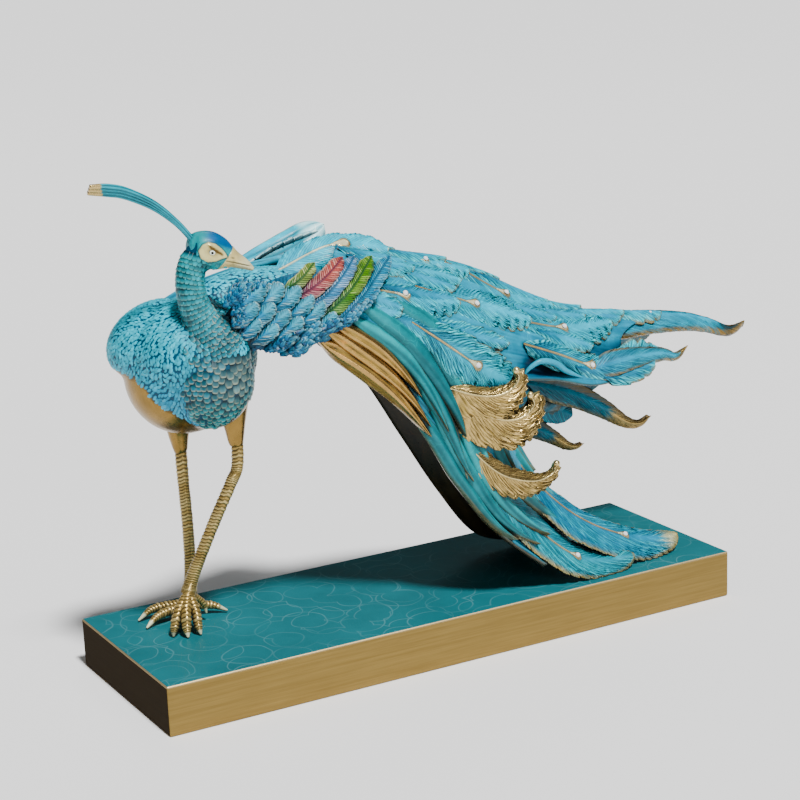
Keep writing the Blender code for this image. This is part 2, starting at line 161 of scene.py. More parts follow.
class Surface:
    """Vertices, faces and paint gathered from many carved forms into one mesh."""

    def __init__(self):
        self.points, self.faces, self.paint, self.count = [], [], [], 0

    def add(self, points, faces, paint):
        self.points.append(points.reshape(-1, 3))
        self.faces.append(faces + self.count)
        self.paint.append(paint.reshape(-1, 4))
        self.count += len(self.points[-1])

    def tube(self, rings, paint):
        """Rings[i, j] of points joined into a tube, with strips of faces across its ends."""
        rows, sides = rings.shape[:2]
        index = np.arange(rows * sides).reshape(rows, sides)
        ahead = np.roll(index, -1, axis=1)
        quads = np.stack([index[:-1], ahead[:-1], ahead[1:], index[1:]], axis=-1).reshape(-1, 4)
        ends = []
        for ring in (index[0][::-1], index[-1]):
            for k in range(sides // 2 - 1 + sides % 2):
                ends.append([ring[k], ring[k + 1], ring[sides - 2 - k], ring[sides - 1 - k]])
        quads = np.concatenate([quads, np.array(ends)])
        corners = rings.reshape(-1, 3)[quads]
        volume = sum((np.cross(corners[:, 0], corners[:, k]) * corners[:, k + 1]).sum() for k in (1, 2))
        self.add(rings, quads if volume > 0 else quads[:, ::-1], paint)

    def tree(self):
        """For ray casts onto what has been gathered."""
        return BVHTree.FromPolygons(np.concatenate(self.points).tolist(),
                                    np.concatenate(self.faces).tolist())

    def make(self, name, material):
        points = np.concatenate(self.points)
        points[:, 2] = np.maximum(points[:, 2], LEAST_HEIGHT)
        faces = np.concatenate(self.faces)
        flat = [[a, b, c] if c == d or a == d else [a, b, c, d] for a, b, c, d in faces.tolist()]
        mesh = bpy.data.meshes.new(name)
        mesh.from_pydata((points * MM + [0, 0, STAND]).tolist(), [], flat)
        layer = mesh.color_attributes.new("paint", "FLOAT_COLOR", "POINT")
        layer.data.foreach_set("color", np.concatenate(self.paint).astype(np.float32).ravel())
        mesh.validate()
        mesh.shade_smooth()
        mesh.materials.append(material)
        made = placed(name, mesh)
        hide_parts("peacock")
        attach(made, "root")


PURITY = 1.36
PAINT_TINT = (1, 1.12, 1.02)


def painted(colour, gilt):
    """Colour and gilding as one array. Bare paint is made purer by PURITY, and tinted."""
    colour = np.asarray(colour, float)
    gilt = np.broadcast_to(np.asarray(gilt, float)[..., None], colour.shape[:-1] + (1,))
    grey = colour.mean(-1, keepdims=True)
    purer = np.clip(grey + (colour - grey) * PURITY, 0, 1) * PAINT_TINT
    return np.concatenate([colour * gilt + purer * (1 - gilt), gilt], axis=-1)


# Directions that the figure is shown from: across its show side, and out of it

SHOW_ACROSS = np.array((0.868, -0.495))
SHOW_OUT = np.array((-0.471, -0.846))
NECK_ACROSS = (0.87, -0.5, 0.0)


# Outlines of feathers, as the share of the full width at v, from 0 at the root to 1 at the tip

def round_end(v, start, span, power, least):
    """1 up to start, and rounded down to the least width over the span after it."""
    return np.sqrt(np.clip(1.0 - (np.maximum(v - start, 0.0) / span) ** power, least, 1))


def rounded_tip(v):
    """A vane that widens up to its middle and has a round end."""
    vane = 0.45 + 0.55 * np.minimum(v / 0.45, 1.0)
    return vane * round_end(v, 0.62, 0.385, 2, 0.003)


def blunt_tip(v):
    """A long vane of even width with a round end."""
    return (0.55 + 0.45 * smooth(0.0, 0.25, v)) * round_end(v, 0.80, 0.203, 2, 0.004)


def covert_tip(v):
    """A short broad feather with a round end."""
    return (0.6 + 0.4 * smooth(0.0, 0.4, v)) * round_end(v, 0.66, 0.343, 2.2, 0.003)


def root_hidden(v):
    """A long vane that widens from a thin root and narrows to a point."""
    return smooth(-0.12, 0.30, v) * np.maximum((1.0 - v) ** 0.62, 0.05)


def leaf_strand(v):
    """A long slender leaf that narrows to a point."""
    taper = np.clip(1 - np.maximum(v - 0.45, 0) / 0.552, 0, 1) ** 0.7
    return smooth(-0.15, 0.20, v) * np.maximum(taper, 0.03)


# Feathers

class Style:
    """How a feather is carved and painted. Lengths are in millimetres.

    lift raises its tip and crown its middle. Its barbs are pitch apart and relief deep, slant by cot,
    and stand in tufts, which cleft and shingle set apart. split and ragged fray its edge, and flutes
    take the barbs' place. Its colour runs from root to tip, and a darker root is partly painted shade.
    dark is how much its grooves and clefts are darkened, as painted shade and antiquing. shine puts
    painted highlights of the light colour on the barbs' crests, and lit puts them near the edge. The
    rim, the shaft and the tip each have a colour and a gilding.
    """

    def __init__(self, **given):
        self.root, self.tip, self.light = TURQUOISE_DEEP, TURQUOISE, TURQUOISE_PALE
        self.shine = 0.4
        self.pitch, self.cot, self.bare = 2.9, 1.5, 0.04
        self.relief, self.lift, self.thick, self.crown = 0.75, 2.4, 1.8, 0.8
        self.ragged, self.split, self.tuft, self.shingle = 0.07, 0.26, 4.6, 0.8
        self.cleft, self.flutes = 1.0, 0
        self.shaft, self.shaft_colour, self.shaft_gilt, self.shaft_end = 0.6, GOLD, 0.7, 0.97
        self.rim, self.rim_from, self.rim_colour, self.rim_gilt = 1.1, 0.35, BRONZE, 0.6
        self.tip_colour, self.tip_from, self.tip_gilt = None, 0.86, 0.0
        self.eye_size = 3.7
        self.wave = 0.0
        self.dark = 0.75
        self.lit = 0.0
        for key, value in given.items():
            setattr(self, key, value)


SMOOTH_EDGED = dict(ragged=0.0, split=0.0, shingle=0.0, cleft=0.0)
BROAD = dict(lift=4.8, crown=2.0, relief=0.95, shingle=1.0, split=0.30, ragged=0.0, cleft=1.2,
             root=rgb(0x024C66), tip=rgb(0x0399B4), light=rgb(0x86E0EC), shine=0.75, thick=2.6, pitch=2.8,
             tuft=5.0, cot=2.2, dark=0.97, bare=0.08, rim=1.0, lit=0.9)


def barb_ridge(phase):
    """1 on a barb's crest, 0 in the groove beside it."""
    return 1 - np.abs(2 * np.modf(phase + 1000)[0] - 1) ** 2.4


def carve(v, u, length, wide, style, seed, eye=None):
    """Height and paint of a feather's face: v runs from root to tip, 0 to 1, and u across, -1 to 1."""
    side = np.sign(u)
    share = np.abs(u)
    wobble = 0.35 * np.sin(v * length / 7.0 + seed * 5) + 0.2 * np.sin(v * length / 3.3 + seed * 9 + side)
    wobble = wobble + side * 0.37 + seed

    def barbs(d, part):
        return (v * length - d * style.cot * (0.55 + 0.45 * part)) / style.pitch + wobble

    edge = barbs(wide, 1.0)
    edge_tuft = np.modf(edge / style.tuft + 50)[0]
    edge_barb = np.modf(edge + 1000)[0]
    chance_edge = hashed(np.floor(edge + 1000), seed + side)
    lobe = smooth(0.35, 1.0, 1 - edge_tuft)
    frayed = style.ragged * ((1 - edge_barb) ** 1.5 + 0.7 * chance_edge)
    cut = style.split * lobe * (0.35 + 0.65 * smooth(0.5, 0.85, v)) + frayed
    reach = wide * (1 - cut * smooth(0.10, 0.35, v))
    if style.flutes:
        phase = u * style.flutes / 2 + 0.35 * np.sin(v * 4 + seed) + seed
        tuft, strength = 0.5, smooth(0.0, 0.10, v)
    else:
        phase = barbs(share * wide, share)
        tuft = np.modf(phase / style.tuft + 50)[0]
        strength = smooth(style.bare, style.bare + 0.25, share) * smooth(0.0, 0.10, v)
    ridge = barb_ridge(phase)
    groove = (1 - ridge) * strength
    deep = smooth(0.10, 0.0, tuft) * smooth(0.45, 0.95, share) * smooth(0.05, 0.2, v)
    chance = hashed(np.floor(phase + 1000), seed + side * 3 * (style.flutes == 0))
    height = style.lift * v**1.3 + style.crown * (1 - share**2)
    height = height - style.relief * groove - style.cleft * deep - 0.6 * style.thick * share**6
    height = height + style.shingle * (tuft - 0.5) * smooth(0.3, 1.0, share) * smooth(0.0, 0.2, v)
    height = height + style.wave * np.sin(v * length / 5.5 + seed * 7 + side) * share**3
    height = height + style.relief * 0.4 * (chance - 0.5) * strength
    # From root to tip; a darker root is partly painted shade where the feather before it lies over it
    colour = mix(style.root, style.tip, smooth(0.0, 0.6, v))
    colour = colour * (0.88 + 0.24 * chance)[..., None]
    # Painted highlights: the light colour on the barbs' crests, and by lit near the edge
    crest = smooth(0.55, 1.0, ridge) * strength * np.maximum(chance - 0.35, 0) / 0.65
    crest = crest * (0.4 + 0.6 * tuft)
    colour = mix(colour, style.light, np.clip(style.shine * crest, 0, 1))
    from_edge = np.minimum((1 - share) * reach, (1 - v) * length)
    edge_light = style.lit * smooth(4.5, 1.5, from_edge) * ridge**3 * (0.4 + 0.6 * chance)
    colour = mix(colour, style.light, edge_light)
    # Painted shade and antiquing: darker in the grooves and in the clefts between tufts
    colour = colour * (1 - np.maximum(style.dark * groove, 0.6 * deep))[..., None]
    gilt = 0 * height
    if style.tip_colour is not None:
        part = smooth(style.tip_from, style.tip_from + 0.10, v + 0.05 * (chance - 0.5))
        part = part * (1 - 0.85 * groove)
        colour, gilt = mix(colour, style.tip_colour, part), style.tip_gilt * part
    if style.rim:
        part = smooth(style.rim * 1.5, style.rim * 0.5, from_edge) * (0.35 + 0.65 * chance)
        part = part * smooth(style.rim_from, style.rim_from + 0.25, v)
        colour, gilt = mix(colour, style.rim_colour, part), np.maximum(gilt, style.rim_gilt * part)
    if style.shaft:
        d = share * reach
        end = style.shaft_end if eye is None else eye
        up_to_end = smooth(end + 0.02, end, v)
        on_shaft = smooth(style.shaft * 1.5, style.shaft * 0.7, d) * up_to_end
        # Painted shade in the groove beside the shaft
        beside = smooth(style.shaft * 3.4, style.shaft * 1.7, d) * (1 - on_shaft) * up_to_end
        height = height + 0.6 * on_shaft - 0.25 * beside
        colour = mix(colour * (1 - 0.45 * beside)[..., None], style.shaft_colour, on_shaft)
        gilt = np.maximum(gilt, style.shaft_gilt * on_shaft)
    if eye is not None:
        d = share * reach
        ahead = (v - eye) * length
        size = style.eye_size
        tail = np.clip((ahead + 3.2 * size) / (3.2 * size), 0, 1) ** 1.6
        drop = np.where(ahead > 0, np.hypot(ahead, d) / size, d / (size * tail + 1e-6))
        inside = smooth(1.08, 0.98, drop)
        level = style.lift * v**1.3 + style.crown
        raised = level + 0.85 * smooth(1.1, 0.92, drop) - 0.55 * smooth(0.80, 0.66, drop)
        height = height * (1 - inside) + raised * inside
        colour = colour * (1 - 0.55 * smooth(1.5, 1.15, drop) * (1 - inside))[..., None]
        colour = mix(colour, mix(GOLD, CREAM * 0.8, smooth(0.80, 0.66, drop)), inside)
        gilt = gilt * (1 - inside) + inside * (0.75 - 0.6 * smooth(0.80, 0.66, drop))
    return reach, height, painted(colour, gilt)


def on_breast(points):
    """Where the body carries the breast's round scales: below the neck, on the front."""
    x, y, z = points.T
    lower_neck = np.linalg.norm(points - np.array([-164, -26, 226]), axis=1)
    border = -188 - 0.45 * (208 - z) + 2.0 * np.sin(z / 2.3) + 1.5 * np.sin(z / 5.1)
    return (x * 0.3 - y > -26) & (x > border) & ((z < 212) | (lower_neck < 18))


def face_grid(length, half, style, profile, step, eyed=False):
    """Shares along and across a feather's face. Its rows lean outwards along the barbs."""
    if style.flutes:
        rows = int(np.clip(length / (2.2 * step), 12, 160))
        u = np.linspace(-1, 1, 6 * style.flutes + 1)[None, :]
        return np.linspace(0, 1, rows)[:, None] + 0 * u, u
    near = np.array((0, 0.35, 0.8, 1.4, 2.1, 2.9, 3.8) if eyed else (0, 0.35, 0.8, 1.5))
    near = near[near < 0.5 * half]
    far = half - np.array((1.5, 0.8, 0.3, 0.0))
    far = far[far > near[-1] + 0.3]
    between = np.linspace(near[-1], far[0], max(int((far[0] - near[-1]) / 1.9) + 1, 2))[1:-1]
    out = np.concatenate([near, between, far]) / half
    u = np.concatenate([-out[:0:-1], out])[None, :]
    rows = np.linspace(0, 1, int(np.clip(length / step, 12, 260)))[:, None]
    share = np.abs(u)
    drift = share * half * profile(rows) * style.cot * (0.55 + 0.45 * share) / length
    return 1 - (1 - rows) * np.exp(-drift / (1.001 - rows)), u


def wrap(place, height, paint, thick, surface):
    """Closes a feather's face with edges and a plain back, painted darker as shade. place(columns, narrow,
    height) gives points.
    """
    last = height.shape[1] - 1
    columns = [last, last // 2, 0]
    # Painted shade: the edges and the back take the face's colour at 0.45
    shaded_back_paint = paint[:, columns] * [0.45, 0.45, 0.45, 1.0]
    back = place(columns, 0.94, np.full((height.shape[0], 3), -thick))
    points = np.concatenate([place(slice(None), 1.0, height), back], axis=1)
    surface.tube(points, np.concatenate([paint, shaded_back_paint], axis=1))


def feather(surface, spine, normals, half, style, seed=0.0, profile=rounded_tip, lean=0.5, step=0.6,
            stone=None, eye=None):
    """A feather on a spine of its own. Its eye is a share of its length, or lies under a stone."""
    spine = np.asarray(spine, float)
    shares = np.linspace(0, 1, 161)
    walked = walk(spline(spine, shares))
    length = walked[-1]
    v, u = face_grid(length, half, style, profile, step, stone is not None or eye is not None)
    t = np.interp(v * length, walked, shares)
    centres = spline(spine, t)
    forward = unit(spline(spine, t + 0.01) - spline(spine, t - 0.01))
    normals = np.asarray(normals, float)
    normal = normals * np.ones_like(centres) if normals.ndim == 1 else spline(normals, t)
    normal = unit(normal - forward * (normal * forward).sum(-1, keepdims=True))
    side = np.cross(forward, normal)
    base = 0.0
    if stone is not None:
        spot = stone_spot(stone)
        middle = v.shape[1] // 2
        k = np.linalg.norm(centres[:, middle] - spot, axis=1).argmin()
        eye = v[k, middle]
        gap = spot - centres[k, middle]
        base = gap @ normal[k, middle] - STONE_SEAT - style.crown
        shift = gap @ side[k, middle] * np.exp(-(((v - eye) / 0.25) ** 2))
        centres = centres + side * shift[..., None]
    wide = half * profile(v) * np.where(u < 0, 2 * lean, 2 * (1 - lean))
    reach, height, paint = carve(v, u, length, wide, style, seed, eye)
    offset = u * reach

    def place(columns, narrow, rise):
        sideways = side[:, columns] * (narrow * offset[:, columns])[..., None]
        return centres[:, columns] + sideways + normal[:, columns] * (rise + base)[..., None]

    wrap(place, height - style.lift * v**1.3, paint, style.thick + abs(base), surface)


# The train's two sheets

UPPER_RIBS = np.array((
    ((-85, -36, 232), (-72, -24, 258), (-52, 5, 270), (-50, 32, 255), (-58, 40, 225)),
    ((-40, -50, 204), (-20, -38, 236), (-2, 0, 257), (0, 32, 240), (-15, 44, 200)),
    ((19, -58, 170), (40, -42, 206), (57, -2, 237), (62, 34, 212), (50, 46, 165)),
    ((90, -57, 158), (108, -44, 180), (121, -6, 203), (128, 26, 178), (130, 40, 96)),
    ((138, -54, 146), (150, -43, 166), (166, -10, 191), (175, 20, 160), (172, 34, 110)),
    ((190, -51, 154), (200, -42, 164), (222, -16, 182), (222, 4, 160), (205, 24, 135)),
), float)
LOWER_RIBS = np.array((
    ((-92, -38, 212), (-80, -46, 228), (-45, -30, 243), (-35, 20, 232), (-56, 35, 191)),
    ((-46, -50, 174), (-28, -52, 198), (12, -38, 214), (22, 10, 200), (-21, 37, 162)),
    ((-14, -56, 135), (6, -58, 158), (44, -38, 180), (54, 5, 160), (13, 38, 109)),
    ((8, -62, 95), (26, -60, 112), (62, -33, 125), (72, 5, 105), (44, 38, 60)),
    ((33, -68, 54), (52, -60, 68), (84, -33, 79), (96, 5, 58), (77, 36, 18)),
    ((74, -70, 19), (96, -54, 26), (128, -25, 30), (140, 8, 20), (118, 34, 4)),
), float)


def on_sheet(ribs, s, t):
    """The sheet's points, s from 0 to 1 down its ribs and t across them."""
    s, t = np.broadcast_arrays(np.asarray(s, float), np.asarray(t, float))
    rows = spline(ribs.reshape(len(ribs), 15), s).reshape(s.shape + (5, 3))
    return across_rows(rows, t)


def sheet_slopes(ribs, s, t):
    """How the sheet runs with s and with t, and its unit normal."""
    e = 0.01
    down = (on_sheet(ribs, s + e, t) - on_sheet(ribs, s - e, t)) / (2 * e)
    over = (on_sheet(ribs, s, t + e) - on_sheet(ribs, s, t - e)) / (2 * e)
    return down, over, unit(np.cross(down, over))


def sheet_feather(surface, ribs, path, half, style, seed=0.0, profile=rounded_tip, lean=0.5, step=0.6,
                  stone=None, base=0.0):
    """A feather lying on a sheet, along a path of (s, t) from root to tip, with its eye under its stone."""
    path = np.asarray(path, float)
    seat = None
    if stone is not None:
        path[1, 0], path[1, 1], seat = nearest_on_sheet(ribs, stone_spot(stone))
    shares = np.linspace(0, 1, 81)
    dense = spline(path, shares)
    walked = walk(on_sheet(ribs, dense[:, 0], dense[:, 1]))
    length = walked[-1]
    v, u = face_grid(length, half, style, profile, step, stone is not None)
    at = np.interp(v * length, walked, shares)
    s, t = np.moveaxis(spline(path, at), -1, 0)
    slope = spline(path, at + 0.01) - spline(path, at - 0.01)
    down, over, normal = sheet_slopes(ribs, s, t)
    forward = unit(down * slope[..., :1] + over * slope[..., 1:])
    side = np.cross(forward, normal)
    a, b, c = (down * down).sum(-1), (down * over).sum(-1), (over * over).sum(-1)
    p, q = (down * side).sum(-1), (over * side).sum(-1)
    scale = a * c - b * b
    ds, dt = (c * p - b * q) / scale, (a * q - b * p) / scale
    wide = half * profile(v) * np.where(u < 0, 2 * lean, 2 * (1 - lean))
    eye = None if stone is None else walked[40] / length
    if stone is not None:
        base = seat - STONE_SEAT - style.crown - style.lift * eye**1.3
    rising = base * smooth(0.0, 0.5, v)
    reach, height, paint = carve(v, u, length, wide, style, seed, eye)
    offset = u * reach

    def place(columns, narrow, rise):
        distance = narrow * offset[:, columns]
        s_here = s[:, columns] + ds[:, columns] * distance
        t_here = t[:, columns] + dt[:, columns] * distance
        out = sheet_slopes(ribs, s_here, t_here)[2]
        return on_sheet(ribs, s_here, t_here) + out * (rise + rising[:, columns])[..., None]

    wrap(place, height, paint, style.thick + max(base, 0), surface)


def upper_folds(s, t):
    """How far the upper sheet's folds and hollow sink, in millimetres."""
    crease = 4.5 * np.exp(-(((t - 0.31) / 0.055) ** 2)) * smooth(0.80, 0.95, s)
    hollow = 9.0 * np.exp(-(((s - 0.585) / 0.06) ** 2) - ((t - 0.11) / 0.08) ** 2)
    trough = 3.0 * np.exp(-(((t - 0.30 + 0.15 * (s - 0.6)) / 0.05) ** 2)) * smooth(0.55, 0.70, s)
    return crease + hollow + trough


def sheet(surface, ribs, thick, relief, outside, inside, bay=0.0):
    """A whole sheet: relief is its height, outside and inside its paint, and bay a cut in its outer end."""
    s, t = np.linspace(0, 1, SHEET_ROWS)[:, None], np.linspace(0, 1, SHEET_COLUMNS)[None, :]
    s, t = np.broadcast_arrays(s, t)
    s = s * (1 - bay * np.exp(-(((t - 0.33) / 0.12) ** 2)))
    base, out = on_sheet(ribs, s, t), sheet_slopes(ribs, s, t)[2]
    near = (slice(None), slice(None, None, -1))
    raised = relief(s, t)[..., None]
    under = base + out * (np.minimum(raised, 0) - thick)
    points = np.concatenate([base + out * raised, under[near]], axis=1)
    surface.tube(points, np.concatenate([outside(s, t), inside(s, t)[near]], axis=1))


def flowing_strands(s, t, count, drift, seed):
    """Long hair-like strands down a sheet: 1 on a strand's crest, and a number for each strand."""
    x = t * count + drift * np.sin(s * 5 + t * 6 + seed) + 0.35 * np.sin(s * 17 + t * 20)
    return barb_ridge(x), hashed(np.floor(x), seed)


# Materials

def solid(code):
    """An opaque colour for a shader's socket."""
    return (*rgb(code), 1.0)


def node_material(name):
    made = bpy.data.materials.new(name)
    made.use_nodes = True
    return made, made.node_tree, made.node_tree.nodes["Principled BSDF"]


def add(tree, kind, inputs, **settings):
    """A node whose inputs, by name or number, are linked to a socket or set to a value."""
    node = tree.nodes.new(kind)
    for key, value in settings.items():
        setattr(node, key, value)
    for key, value in inputs.items():
        if isinstance(value, bpy.types.NodeSocket):
            tree.links.new(value, node.inputs[key])
        else:
            node.inputs[key].default_value = value
    return node


def noise(tree, place, scale, detail=4.0, rough=0.6):
    return add(tree, "ShaderNodeTexNoise",
               {"Vector": place, "Scale": scale, "Detail": detail, "Roughness": rough})


def remap(tree, value, low, high, to_low, to_high):
    """The value's range from low to high, spread from to_low to to_high and cut off there."""
    ends = {"From Min": low, "From Max": high, "To Min": to_low, "To Max": to_high}
    return add(tree, "ShaderNodeMapRange", {"Value": value, **ends}).outputs["Result"]


def math_node(tree, operation, a, b):
    return add(tree, "ShaderNodeMath", {0: a, 1: b}, operation=operation).outputs[0]


def vector_node(tree, operation, inputs):
    return add(tree, "ShaderNodeVectorMath", inputs, operation=operation).outputs[0]


def mixed(tree, share, a, b, blend="MIX"):
    """Two colours mixed. Inputs 6 and 7 of the node are its colours, and output 2 is their mix."""
    return add(tree, "ShaderNodeMix", {0: share, 6: a, 7: b}, data_type="RGBA", blend_type=blend).outputs[2]


def grey_ramp(tree, value, low, high):
    """A grey that runs from low to high with the value, for multiplying."""
    ramp = add(tree, "ShaderNodeValToRGB", {"Fac": value})
    for element, position, level in zip(ramp.color_ramp.elements, (0.3, 0.7), (low, high)):
        element.position = position
        element.color = (level, level, level, 1.0)
    return ramp.outputs["Color"]


def bumps(tree, shader, fine, strength):
    """Relief too fine for the mesh, from a texture's value."""
    bump = add(tree, "ShaderNodeBump", {"Height": fine, "Strength": strength, "Distance": 0.0004})
    tree.links.new(bump.outputs["Normal"], shader.inputs["Normal"])


def paint_material(name, roughness, crackle):
    """Paint over a cast surface: the carving's colours, dark antiquing and painted shade in recesses, grain
    and fine veins.
    """
    made, tree, shader = node_material(name)
    place = add(tree, "ShaderNodeTexCoord", {}).outputs["Object"]
    paint = add(tree, "ShaderNodeAttribute", {}, attribute_name="paint")
    gilt = paint.outputs["Alpha"]
    bare = math_node(tree, "SUBTRACT", 1.0, gilt)
    cloud = noise(tree, place, 90.0).outputs["Fac"]
    colour = mixed(tree, 1.0, paint.outputs["Color"], grey_ramp(tree, cloud, 0.80, 1.22), "MULTIPLY")
    if crackle:
        warp = noise(tree, place, 70.0, 2.0).outputs["Color"]
        shift = vector_node(tree, "SCALE", {0: warp, "Scale": 0.012})
        bent = vector_node(tree, "ADD", {0: place, 1: shift})
        veins = add(tree, "ShaderNodeTexVoronoi", {"Vector": bent, "Scale": 75.0},
                    feature="DISTANCE_TO_EDGE")
        line = remap(tree, veins.outputs["Distance"], 0.006, 0.022, 1.0, 0.0)
        faint = remap(tree, noise(tree, place, 45.0, 1.0).outputs["Fac"], 0.42, 0.62, 0.0, crackle)
        share = math_node(tree, "MULTIPLY", math_node(tree, "MULTIPLY", line, faint), bare)
        colour = mixed(tree, share, colour, mixed(tree, 1.0, colour, (5.0, 2.6, 2.2, 1.0), "MULTIPLY"))
    # Painted shade with antiquing: darker wherever other surface lies near, in recesses and under
    # overlapping parts
    recess = add(tree, "ShaderNodeAmbientOcclusion", {"Distance": 0.011}, samples=6)
    wash_and_shade = remap(tree, recess.outputs["AO"], 0.30, 0.90, 0.95, 0.0)
    less_on_gold = math_node(tree, "SUBTRACT", 1.0, math_node(tree, "MULTIPLY", gilt, 0.35))
    colour = mixed(tree, math_node(tree, "MULTIPLY", wash_and_shade, less_on_gold), colour,
                   (0.003, 0.014, 0.018, 1.0))
    tree.links.new(colour, shader.inputs["Base Color"])
    tree.links.new(gilt, shader.inputs["Metallic"])
    rough = remap(tree, cloud, 0.3, 0.7, roughness - 0.05, roughness + 0.07)
    rough = math_node(tree, "SUBTRACT", rough, math_node(tree, "MULTIPLY", gilt, 0.12))
    tree.links.new(rough, shader.inputs["Roughness"])
    shader.inputs["Specular IOR Level"].default_value = 0.25
    bumps(tree, shader, noise(tree, place, 1400.0, 2.0).outputs["Fac"], 0.15)
    return made


def lacquer_rings(tree, place):
    """How much of the pale looping lines shows at each place of the lacquer."""
    share = 0.0
    for scale, shift in ((34.0, 0.0), (27.0, 3.7)):
        swirl = noise(tree, place, 30.0 + shift, 1.0).outputs["Color"]
        warp = vector_node(tree, "MULTIPLY_ADD", {0: swirl, 1: (0.010, 0.010, 0.0), 2: place})
        spread = {"Vector": warp, "Scale": scale, "Randomness": 0.9}
        cells = add(tree, "ShaderNodeTexVoronoi", spread, feature="F1", voronoi_dimensions="2D")
        ring = math_node(tree, "SUBTRACT", cells.outputs["Distance"], 0.46)
        ring = math_node(tree, "ABSOLUTE", ring, 0.0)
        share = math_node(tree, "MAXIMUM", share, remap(tree, ring, 0.0, 0.022, 1.0, 0.0))
    faint = remap(tree, noise(tree, place, 25.0, 2.0).outputs["Fac"], 0.35, 0.65, 0.03, 0.16)
    return math_node(tree, "MULTIPLY", share, faint)


def plinth_material():
    """Teal lacquer with pale rings on the top, and brushed brass paint on the sides and the top's edges.
    The end faces are dark brown, partly painted shade, and the top's edges paler, partly painted highlight.
    """
    made, tree, shader = node_material("plinth_paint")
    place = add(tree, "ShaderNodeTexCoord", {}).outputs["Object"]
    normal = add(tree, "ShaderNodeNewGeometry", {}).outputs["Normal"]
    facing = add(tree, "ShaderNodeSeparateXYZ", {0: normal})
    top = remap(tree, facing.outputs["Z"], 0.80, 0.90, 0.0, 1.0)
    cloud = noise(tree, place, 18.0).outputs["Fac"]
    lacquer = mixed(tree, cloud, solid(0x0A5259), solid(0x12737C))
    lacquer = mixed(tree, lacquer_rings(tree, place), lacquer, solid(0xA4DADF))
    streaks = noise(tree, vector_node(tree, "MULTIPLY", {0: place, 1: (6.0, 6.0, 220.0)}), 3.0)
    brass = mixed(tree, streaks.outputs["Fac"], solid(0x745D2E), solid(0xA0864C))
    # The end faces are painted dark brown: partly their own paint, partly painted shade
    end = remap(tree, math_node(tree, "ABSOLUTE", facing.outputs["X"], 0.0), 0.80, 0.90, 0.0, 0.95)
    brass = mixed(tree, end, brass, solid(0x1E150B))
    colour = mixed(tree, top, brass, lacquer)
    # A paler brass on faces that tilt up at the top's edges: partly the trim's colour, partly painted
    # highlight
    edge = remap(tree, facing.outputs["Z"], 0.15, 0.35, 0.0, 1.0)
    rim = math_node(tree, "MULTIPLY", edge, math_node(tree, "SUBTRACT", 1.0, top))
    tree.links.new(mixed(tree, rim, colour, solid(0xC9B183)), shader.inputs["Base Color"])
    metal = math_node(tree, "SUBTRACT", 0.85, math_node(tree, "MULTIPLY", top, 0.75))
    metal = math_node(tree, "MULTIPLY", metal, math_node(tree, "SUBTRACT", 1.0, end))
    tree.links.new(metal, shader.inputs["Metallic"])
    rough = math_node(tree, "MAXIMUM", remap(tree, cloud, 0.3, 0.7, 0.38, 0.48), end)
    tree.links.new(rough, shader.inputs["Roughness"])
    shader.inputs["Specular IOR Level"].default_value = 0.12
    bumps(tree, shader, noise(tree, place, 700.0, 2.0).outputs["Fac"], 0.08)
    return made


def stone_material():
    made, tree, shader = node_material("white_stone")
    cloud = noise(tree, add(tree, "ShaderNodeTexCoord", {}).outputs["Object"], 500.0).outputs["Fac"]
    milky = mixed(tree, cloud, (0.80, 0.83, 0.88, 1.0), (0.98, 0.98, 1.0, 1.0))
    tree.links.new(milky, shader.inputs["Base Color"])
    shader.inputs["Roughness"].default_value = 0.08
    shader.inputs["Coat Weight"].default_value = 1.0
    return made


def repaint(node, material):
    node.data.materials.clear()
    node.data.materials.append(material)


# The body

def tube_rings(path, rows, sides, across=(0.0, 1.0, 0.0)):
    """Rings round a path of (x, y, z, radius)."""
    t = np.linspace(0, 1, rows)
    here = spline(path, t)
    forward = unit((spline(path, t + 0.01) - spline(path, t - 0.01))[:, :3])
    across = np.asarray(across, float)
    side = unit(across - forward * (forward @ across)[:, None])
    up = np.cross(forward, side)
    turns = np.linspace(0, 2 * math.pi, sides, endpoint=False)
    ring = side[:, None] * np.cos(turns)[None, :, None] + up[:, None] * np.sin(turns)[None, :, None]
    return here[:, None, :3] + ring * here[:, None, 3:]


def ball(centre, radii, forward, rows=24, sides=40):
    forward = unit(np.asarray(forward, float))
    side = unit(np.cross(forward, (0.0, 0.0, 1.0)))
    up = np.cross(side, forward)
    a = np.linspace(0.02, math.pi - 0.02, rows)[:, None]
    b = np.linspace(0, 2 * math.pi, sides, endpoint=False)[None, :]
    return (
        np.asarray(centre, float)
        - forward * (radii[0] * np.cos(a) + 0 * b)[..., None]
        + side * (radii[1] * np.sin(a) * np.cos(b))[..., None]
        + up * (radii[2] * np.sin(a) * np.sin(b))[..., None]
    )


NECK = (
    (-161, -25, 198, 20), (-160, -29, 214, 17), (-170, -29, 228, 12.5), (-178, -27, 244, 10.4),
    (-181, -27, 258, 9.7), (-180, -27, 270, 9.6), (-175, -27, 280, 9.6),
)
HEAD = (
    (-180, -27, 288, 4.5), (-176, -27, 287, 10.0), (-168, -29, 284, 12.6), (-160, -31, 280.5, 11.2),
    (-154, -33, 277.5, 7.6), (-150, -34, 275.5, 5.2), (-144, -36, 272, 3.3), (-138.5, -38, 268, 0.8),
)
BACK = ((-180, 12, 214, 26), (-130, 18, 233, 24), (-90, 14, 238, 19), (-50, 8, 238, 18), (-10, 0, 230, 14))
SKIN_VOXEL = 1.7
THIGHS = (
    ((-144, -4, 185, 15), (-142.5, 0, 158, 9.5), (-142, 0, 134, 5.2)),
    ((-172, 26, 170, 16), (-172, 33, 146, 9), (-170.5, 34.5, 126, 5)),
)


